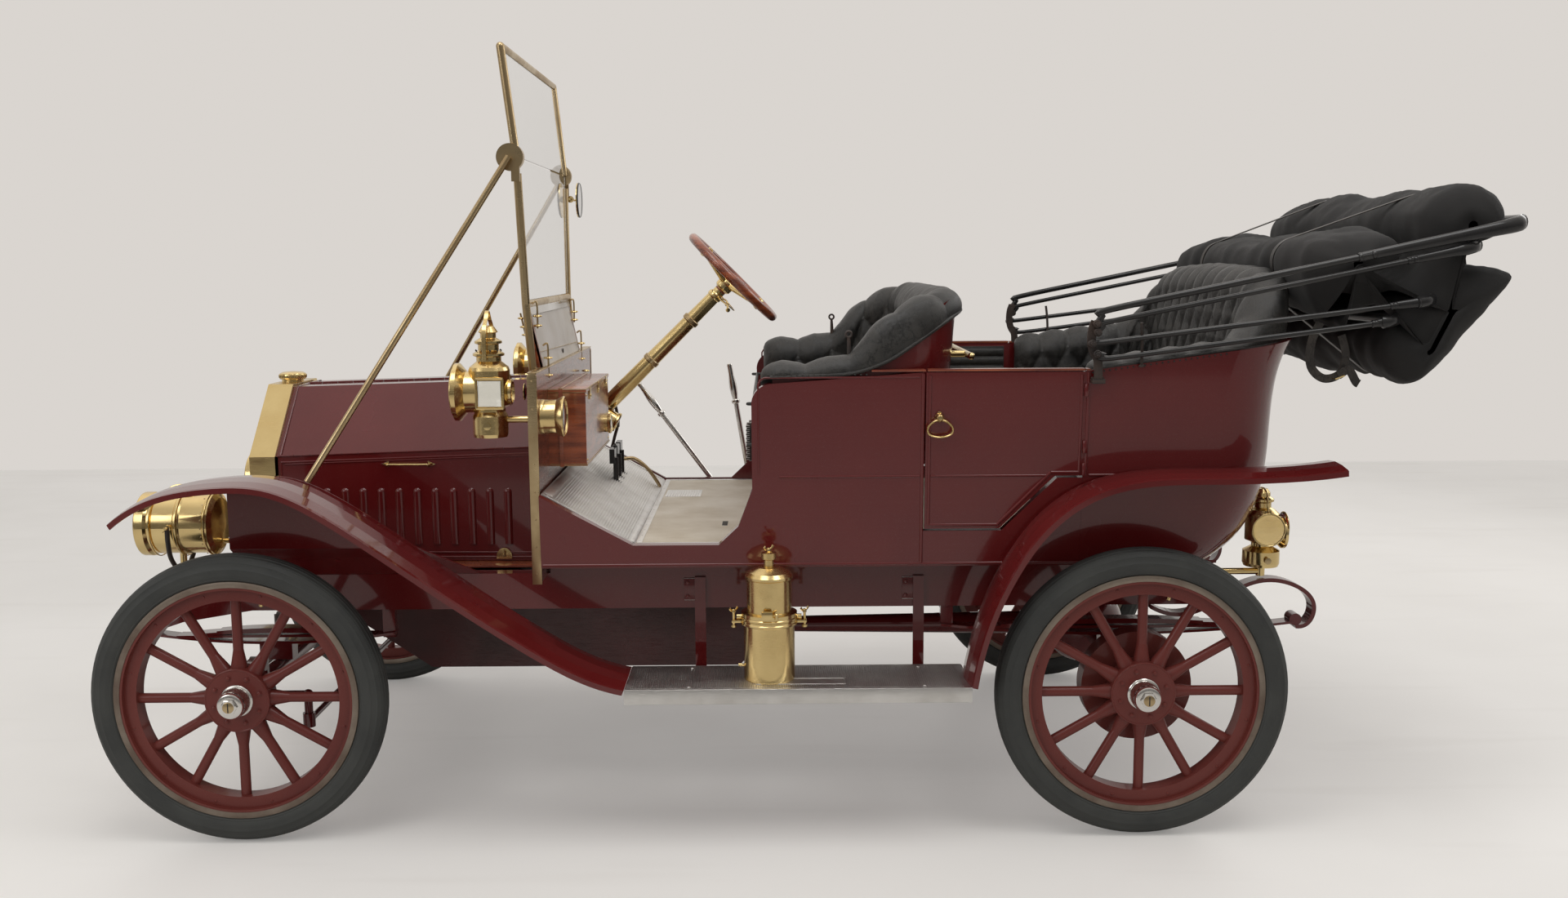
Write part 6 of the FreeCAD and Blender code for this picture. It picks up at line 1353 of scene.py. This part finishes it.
for y in (18, 26):
    screen.slab(spot(behind_board(1226, 0.5), y, 1222), spot(behind_board(1226, 3), y + 5, 1236), "black_iron", 0.6)
screen.done("screen_board_fittings")

# %% Mirror glass
mirror = Bench()
mirror_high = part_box("mirror")[1]
face = Vector((mirror_high.x, 0.530, 1.698))
mirror.turned([(54, -1), (54, 0.6), (30, 1.4), (0, 1.7), (0, -1)], face, (1, 0, 0), "mirror_silver", 40)
mirror.turned([(54, -4), (57.6, -3), (58, 0), (56, 2), (53.6, 1.2), (54, -4)], face, (1, 0, 0), "black_lacquer", 44)
mirror.turned([(11, -2), (11, 7), (6, 9), (6, 16), (0, 16)], spot(722, 452, 1698), (0, 1, 0), "brass", 16)
mirror.done("mirror_glass")

# %% Dash strip, coil box and drums
dash = Bench()
for side in (LEFT, RIGHT):
    post = [spot(s, 560.6 * side, z) for s, z in
            [(738, 640), (738, 1190)] + [(751 - 13 * math.cos(a), 1196 + 13 * math.sin(a))
                                         for a in arc(8)] + [(764, 1190), (764, 640)]]
    dash.cut_out(post, (0, 3.4 * side * mm, 0), "aged_brass", 0.8)
    for level in range(668, 1190, 74):
        dash.rivet(spot(751, 564 * side, level), (0, side, 0), 2.6, "aged_brass")
dash.slab(spot(738, -562, 1205.4), spot(764, 562, 1208.6), "aged_brass", 0.8)
dash.slab(spot(762.4, -376.5, 1137), spot(868.5, 162.5, 1147.5), "mahogany", 2)
dash.slab(spot(762.4, -376, 932.5), spot(868, 162, 939), "mahogany", 2)
for y in (-378.5, 160.6):
    dash.slab(spot(792, y, 930), spot(803, y + 4, 1149), "mahogany", 1.2)
dash.slab(spot(792, -378, 1147), spot(803, 164, 1151), "mahogany", 1.2)
for y in (-300, -110, 80):
    dash.slab(spot(866.2, y, 1112), spot(869.6, y + 26, 1146), "brass", 0.8)
    dash.rivet(spot(869.6, y + 13, 1122), (1, 0, 0), 4, "brass")
for y in (-356, 142):
    for level in (948, 1128):
        dash.rivet(spot(866.4, y, level), (1, 0, 0), 3, "brass")
dash.turned([(46.4, -62), (47.4, -58), (47.4, -52), (46.4, -48)], spot(822, -500, 1085), (1, 0, 0), "brass", 40)
dash.turned([(46.2, -16), (49, -12), (54, -3), (55.5, 2), (53, 6),
             (48, 6), (46.2, 0), (46.2, -16)], spot(822, -500, 1085), (1, 0, 0), "brass", 44)
lens(dash, spot(823, -500, 1085), (1, 0, 0), 45, 5, pane="glass", back="white_board")
for place, axis, radius, length in ((spot(884, 60, 1002), (1, 0, 0), 27, 20),
                                    (spot(884, 236, 984), (0.88, 0, -0.47), 28, 52)):
    dash.turned([(radius * 0.86, -length), (radius, -length * 0.92), (radius, -8),
                 (radius * 1.12, -6), (radius * 1.16, 0), (radius * 1.05, 3),
                 (radius * 0.94, 3), (radius * 0.92, 0)], place, axis, "brass", 30)
    lens(dash, place, axis, radius * 0.9, 3, pane="glass", back="white_board", rim="aged_brass")
dash.bent(curve_through([spot(872, 290, 1046), spot(880, 300, 980), spot(868, 300, 930), spot(856, 300, 884)], 5),
          ring_of(5, 8), "black_iron")
dash.slab(spot(866, 280, 960), spot(884, 312, 992), "black_iron", 3)
dash.done("dash_fittings")

# %% [markdown]
# ## Steering wheel, column and levers
# The wheel is a mahogany rim on a brass spider. The wood rim is the frame's own solid, and a brass sleeve is turned
# over each arm and hub, so that the two materials meet where they do on the car. The spark and throttle levers
# stay with the column, under the wheel, and so ride on the chassis.

# %% Steering spider and controls
wheel_hub, wheel_axis = Vector((-0.2263, 0.262, 1.422)), Vector((0.7105, 0, 0.7037)).normalized()
sideways = Vector((0, 1, 0))
upwards = wheel_axis.cross(sideways).normalized()
spider = Bench()
for turn in angles(4, 0.5):
    spoke = upwards * math.cos(turn) + sideways * math.sin(turn)
    foot, tip = wheel_hub + spoke * 0.004, wheel_hub + spoke * 0.1625 + wheel_axis * 0.0278
    spider.bent([foot, foot.lerp(tip, 0.35), foot.lerp(tip, 0.7), tip], ring_of(8.6, 12), "brass",
                up=wheel_axis, swell=lambda t: 1.15 - 0.22 * t)
    spider.turned([(13, -5), (15.4, -3), (15.4, 3), (13, 5), (0, 5)],
                  wheel_hub + spoke * 0.163 + wheel_axis * 0.028, spoke, "brass", 16)
spider.turned([(21, -24), (27, -18), (28, -6), (25, 8), (17, 15),
               (16, 22), (12, 24), (0, 25)], wheel_hub, wheel_axis, "brass", 30)
spider.done("steering_spider", "steering_wheel")
controls = Bench()
below = wheel_hub - wheel_axis * 0.042
controls.turned([(21, -520), (25, -512), (25.5, -430), (23, -200),
                 (21, -20), (24, -16), (24, -6), (20, 0)], below, wheel_axis, "brass", 32)
for drop in (505, 300, 120):
    controls.turned([(24, -9), (27.5, -6), (27.5, 6), (24, 9)],
                    below - wheel_axis * drop * mm, wheel_axis, "aged_brass", 30)
sector = [below + (upwards * math.cos(a) + sideways * math.sin(a)) * 0.074
          for a in [math.pi * (0.55 + 0.9 * i / 22) for i in range(23)]]
controls.bent(sector, [(-3.5, -1.5), (3.5, -1.5), (3.5, 1.5), (-3.5, 1.5)], "brass", up=wheel_axis)
for turn in (0.62, 1.34):
    way = upwards * math.cos(math.pi * turn) + sideways * math.sin(math.pi * turn)
    lever = [below - wheel_axis * 0.006, below + way * 0.05 - wheel_axis * 0.004, below + way * 0.10,
             below + way * 0.125 - wheel_axis * 0.008]
    controls.bent(curve_through(lever, 5), ring_of(3.2, 8), "brass", up=wheel_axis)
    controls.turned([(3, -4), (7, -1), (7, 3), (0, 7)], lever[-1], way, "brass", 12)
controls.done("column_controls")

# %% Hand lever grips, floor plates and pedal tube
levers = Bench()
for top, low in (((920, 1071), (1256, 614)), ((1233, 1134), (1319, 614))):
    tip = spot(top[0], 640, top[1])
    down = (spot(low[0], 640, low[1]) - tip).normalized()
    grip = [(4, -8), (8, -6), (9.5, 0), (8, 10), (9, 30), (12.5, 58), (13.5, 78), (12, 98), (9.5, 112), (9, 118),
            (14, 121), (15, 126), (14, 131), (10, 134)]
    levers.turned([(0, -8.5)] + grip, tip, down, "nickel", 20)
levers.done("hand_lever_grips")
toe_slope = (spot(1011, 0, 745) - spot(767, 0, 886))
toe_up = Vector((-toe_slope.z, 0, toe_slope.x)).normalized()
toe_up = toe_up if toe_up.z > 0 else -toe_up


def on_toe(share, y, proud=0.0):
    return spot(767, y, 886) + toe_slope * share + toe_up * proud * mm


floor_plates = Bench()
for index in range(31):
    share = 0.13 + index * 0.0262
    floor_plates.bent([on_toe(share, -536), on_toe(share, 536)], bead_section(4.4, 1.5), "aluminium", up=toe_up)
for y in (-550, 550):
    floor_plates.cut_out([on_toe(a, y + b, 0.2) for a, b in ((0.02, -10), (0.98, -10), (0.98, 10), (0.02, 10))],
                         toe_up * 1.8 * mm, "aluminium", 0.5)
    for share in [0.06 + 0.11 * i for i in range(9)]:
        floor_plates.rivet(on_toe(share, y, 2), toe_up, 2.4, "aluminium")
for a, b in ((0.015, 0.10), (0.945, 0.995)):
    floor_plates.cut_out([on_toe(a, -536, 0.2), on_toe(b, -536, 0.2), on_toe(b, 536, 0.2), on_toe(a, 536, 0.2)],
                         toe_up * 1.8 * mm, "aluminium", 0.5)
for y in range(-500, 501, 100):
    floor_plates.rivet(on_toe(0.97, y, 2), toe_up, 2.4, "aluminium")
floor_plates.slab(spot(1013, -559, 745.2), spot(1777, 559, 747.4), "cream_floor", 0.8)
floor_plates.slab(spot(1786, -559, 745.2), spot(2192, 559, 747.4), "cream_floor", 0.8)
for low_y, high_y in ((-562, -540), (540, 562)):
    floor_plates.slab(spot(1013, low_y, 747.2), spot(1777, high_y, 748.6), "aluminium", 0.5)
floor_plates.slab(spot(1013, -540, 747.2), spot(1030, 540, 748.6), "aluminium", 0.5)
for y in range(-520, 521, 80):
    floor_plates.rivet(spot(1021, y, 748.6), (0, 0, 1), 2.4, "aluminium")
floor_plates.slab(spot(1036, 200, 747.2), spot(1150, 330, 748.6), "aluminium", 0.5)
for index in range(13):
    station = 1044 + index * 8
    floor_plates.bent([spot(station, 208, 748.6), spot(station, 322, 748.6)], bead_section(4, 1.3), "aluminium")
# A thin near-black plate lies on the floor where a slot would be: painted shade.
floor_plates.slab(spot(1236, -300, 747.1), spot(1252, -232, 747.9), "painted_hole_shade", 0.3)
floor_plates.bent(curve_through([spot(886, 380, 846), spot(924, 382, 846), spot(966, 384, 812),
                                 spot(1000, 386, 762), spot(1004, 386, 748)], 6), ring_of(6, 10), "aged_brass",
                  up=(0, 1, 0))
for index in range(9):
    floor_plates.slab(spot(1310, -436, 956 + index * 11), spot(1320, -366, 963 + index * 11), "black_iron", 1.5)
floor_plates.slab(spot(1317, -432, 952), spot(1325, -370, 1058), "black_iron", 1)
floor_plates.done("floor_plates")

# %% [markdown]
# ## Body mouldings and door fittings
# A coachbuilder hides joints under half-round mouldings and edges the doors with them. They are thin, so they are
# bent along the body's own side, which leans outwards as it rises. What belongs to a door rides with the door.

# %% The leaning side
def on_side(station, level, side, proud=0.0):
    """A point on the body's outer face, in millimetres along and up."""
    return spot(station, (590 + 35 * (level - 690) / 519 + proud) * side, level)


def moulding(bench, places, side, width=9, height=3.4, finish="maroon_paint"):
    path = [on_side(*place, side) for place in places]
    bench.bent(path, bead_section(width, height), finish, up=Vector((0, side, 0)))


mouldings = Bench()
for side in (LEFT, RIGHT):
    moulding(mouldings, [(1774, 700), (1774, 1204)], side)
    moulding(mouldings, [(2203, 950), (2203, 1206)], side)
    moulding(mouldings, [(1400, 934), (1768, 934)], side, 7, 3)
    moulding(mouldings, [(1346, 940), (1346, 1180), (1352, 1190), (1362, 1196), (1764, 1196)], side, 5, 2)
    moulding(mouldings, [(2212, 934), (2560, 934)], side, 7, 3)
    moulding(mouldings, [(772, 697), (2560, 697)], side, 8, 3)
    for start, end in ((1640, 1780), (2197, 2206)):
        mouldings.slab(on_side(start, 1209.4, side, -26 if side > 0 else 2),
                       on_side(end, 1216, side, 2 if side > 0 else -26), "mahogany", 1.5)
    for level in (860, 1010, 1160):
        mouldings.turned([(5, -17), (6, -15), (6, 15), (5, 17), (0, 17)],
                         on_side(2198, max(level, 950), side, 3), (0, 0, 1), "maroon_paint", 12)
    for station in range(1372, 1640, 15):
        mouldings.rivet(on_side(station, 1203, side, 0.5), (0, side, 0), 2.6, "black_leather", steps=8)
    for station in range(2212, 2560, 15):
        mouldings.rivet(on_side(station, 1206 + 75 * (station - 2195) / 560 - 3, side, 0.5), (0, side, 0), 2.6,
                        "black_leather", steps=8)
    mouldings.bent(curve_through([spot(1586, 560 * side, 1236), spot(1585, 560 * side, 1270),
                                  spot(1584, 560 * side, 1296)], 4), ring_of(4.6, 10), "black_iron",
                   swell=lambda t: 1.5 - 0.6 * t)
    mouldings.turned([(8, -4), (11, -2), (11, 2), (8, 4), (5, 2.5), (5, -2.5), (8, -4)],
                     spot(1584, 560 * side, 1304), (0, 1, 0), "black_iron", 18)
    ball = [(10 * math.sin(a), -10 * math.cos(a)) for a in arc(8)]
    mouldings.turned(ball, spot(1918, 472 * side, 1239), (0, side, 0), "brass", 18)
mouldings.done("body_mouldings")

# %% Doors: mouldings, top rail and stirrup handle
for word, side in SIDES:
    door = Bench()
    outline = [(1792, 1200), (1792, 802), (1974, 802), (2112, 942), (2186, 942), (2186, 1200)]
    for a, b in zip(outline, outline[1:]):
        moulding(door, [a, b], side, 8, 3)
    moulding(door, [(1796, 934), (2100, 934)], side, 6, 2.6)
    corners = sorted((on_side(1785, 1209.4, side, -25).y, on_side(1785, 1209.4, side, 2).y))
    door.slab((spot(1785, 0, 0).x, corners[0], 1.2094), (spot(2193, 0, 0).x, corners[1], 1.2166), "mahogany", 1.5)
    foot = [on_side(s, z, side, 0.4) for s, z in ((1801, 1082), (1833, 1082), (1821, 1108), (1812, 1108))]
    door.cut_out(foot, (0, 4 * mm * side, 0), "brass", 1.6)
    door.turned([(13, 0), (11, 6), (7, 12), (7, 18), (9, 20),
                 (6, 24), (0, 24.5)], on_side(1817, 1090, side, 3), (0, side, 0), "brass", 20)
    stirrup = [(1817, 1086), (1800, 1080), (1786, 1064), (1790, 1047), (1817, 1040), (1845, 1047), (1850, 1064),
               (1835, 1080)]
    ring = curve_through([on_side(s, z, side, 19) for s, z in stirrup + stirrup[:1]], 5)[:-1]
    door.bent(ring, [(a, b * 1.4) for a, b in ring_of(3.6, 10)], "brass", up=(0, side, 0), closed=True)
    for place in ((1806, 1086), (1828, 1086), (1816, 1104)):
        door.rivet(on_side(*place, side, 4.2), (0, side, 0), 1.8, "aged_brass")
    lining = [(1908, 812), (1970, 812), (2104, 946), (2180, 946), (2180, 1200), (1908, 1200)]
    door.cut_out([on_side(*place, side, -23) for place in lining], (0, -3 * mm * side, 0), "black_leather", 1.5)
    for level in range(968, 1190, 30):
        door.bent([on_side(1912, level, side, -25.7), on_side(2176, level, side, -25.7)], bead_section(26, 5),
                  "black_leather", up=Vector((0, -side, 0)))
    door.done(f"door_fittings_{word}", f"rear_door_{word}")

# %% [markdown]
# ## Running boards
# Each board is wood under a cast aluminium tread with fine ribs across it, a smooth rim and a plain plate let in
# by the generator. The ribs are five and a half millimetres apart and catch the light one by one, so they are
# real half-round bars and not only bump.

# %% Ribbed treads
treads = Bench()
board_verts = [p.co for p in nodes["running_boards"].data.vertices if abs(p.co.z - 0.415) < 0.002]
board_in, board_out = min(abs(p.y) for p in board_verts) / mm, max(abs(p.y) for p in board_verts) / mm
print("running board from", round(board_in), "to", round(board_out), "mm")
for side in (LEFT, RIGHT):
    low_y, high_y = sorted((board_in * side, board_out * side))
    treads.slab(spot(1003, low_y, 415.2), spot(1885, high_y, 417), "aluminium", 0.7)
    face = sorted(((board_out + 0.3) * side, (board_out + 2.3) * side))
    treads.slab(spot(1001, face[0], 378), spot(1887, face[1], 417.6), "aluminium", 0.8)
    for index in range(155):
        station = 1018 + index * 5.5
        gap = 1334 < station < 1569
        runs = [(board_in + 14, 694), (754, board_out - 10)] if gap else [(board_in + 14, board_out - 10)]
        for a, b in runs:
            treads.bent([spot(station, a * side, 417), spot(station, b * side, 417)], bead_section(3.0, 1.1),
                        "aluminium")
    for a, b in ((697, 701), (747, 751)):
        ends = sorted((a * side, b * side))
        treads.slab(spot(1336, ends[0], 416.6), spot(1567, ends[1], 418.4), "aluminium", 0.5)
    ends = sorted((701 * side, 747 * side))
    for a in (1336, 1563):
        treads.slab(spot(a, ends[0], 416.6), spot(a + 4, ends[1], 418.4), "aluminium", 0.5)
    for station, y in ((1165, 600), (1768, 600), (1165, 770), (1768, 770)):
        treads.rivet(spot(station, y * side, 417.4), (0, 0, 1), 5, "aluminium")
    ends = sorted((442.5 * side, 446 * side))
    for station in (1165, 1768):
        treads.slab(spot(station - 30, ends[0], 566), spot(station + 30, ends[1], 628), "maroon_paint", 1)
        for a in (-20, 20):
            for z in (578, 616):
                treads.rivet(spot(station + a, 446 * side, z), (0, side, 0), 5.5, "maroon_paint")
treads.done("running_board_treads")
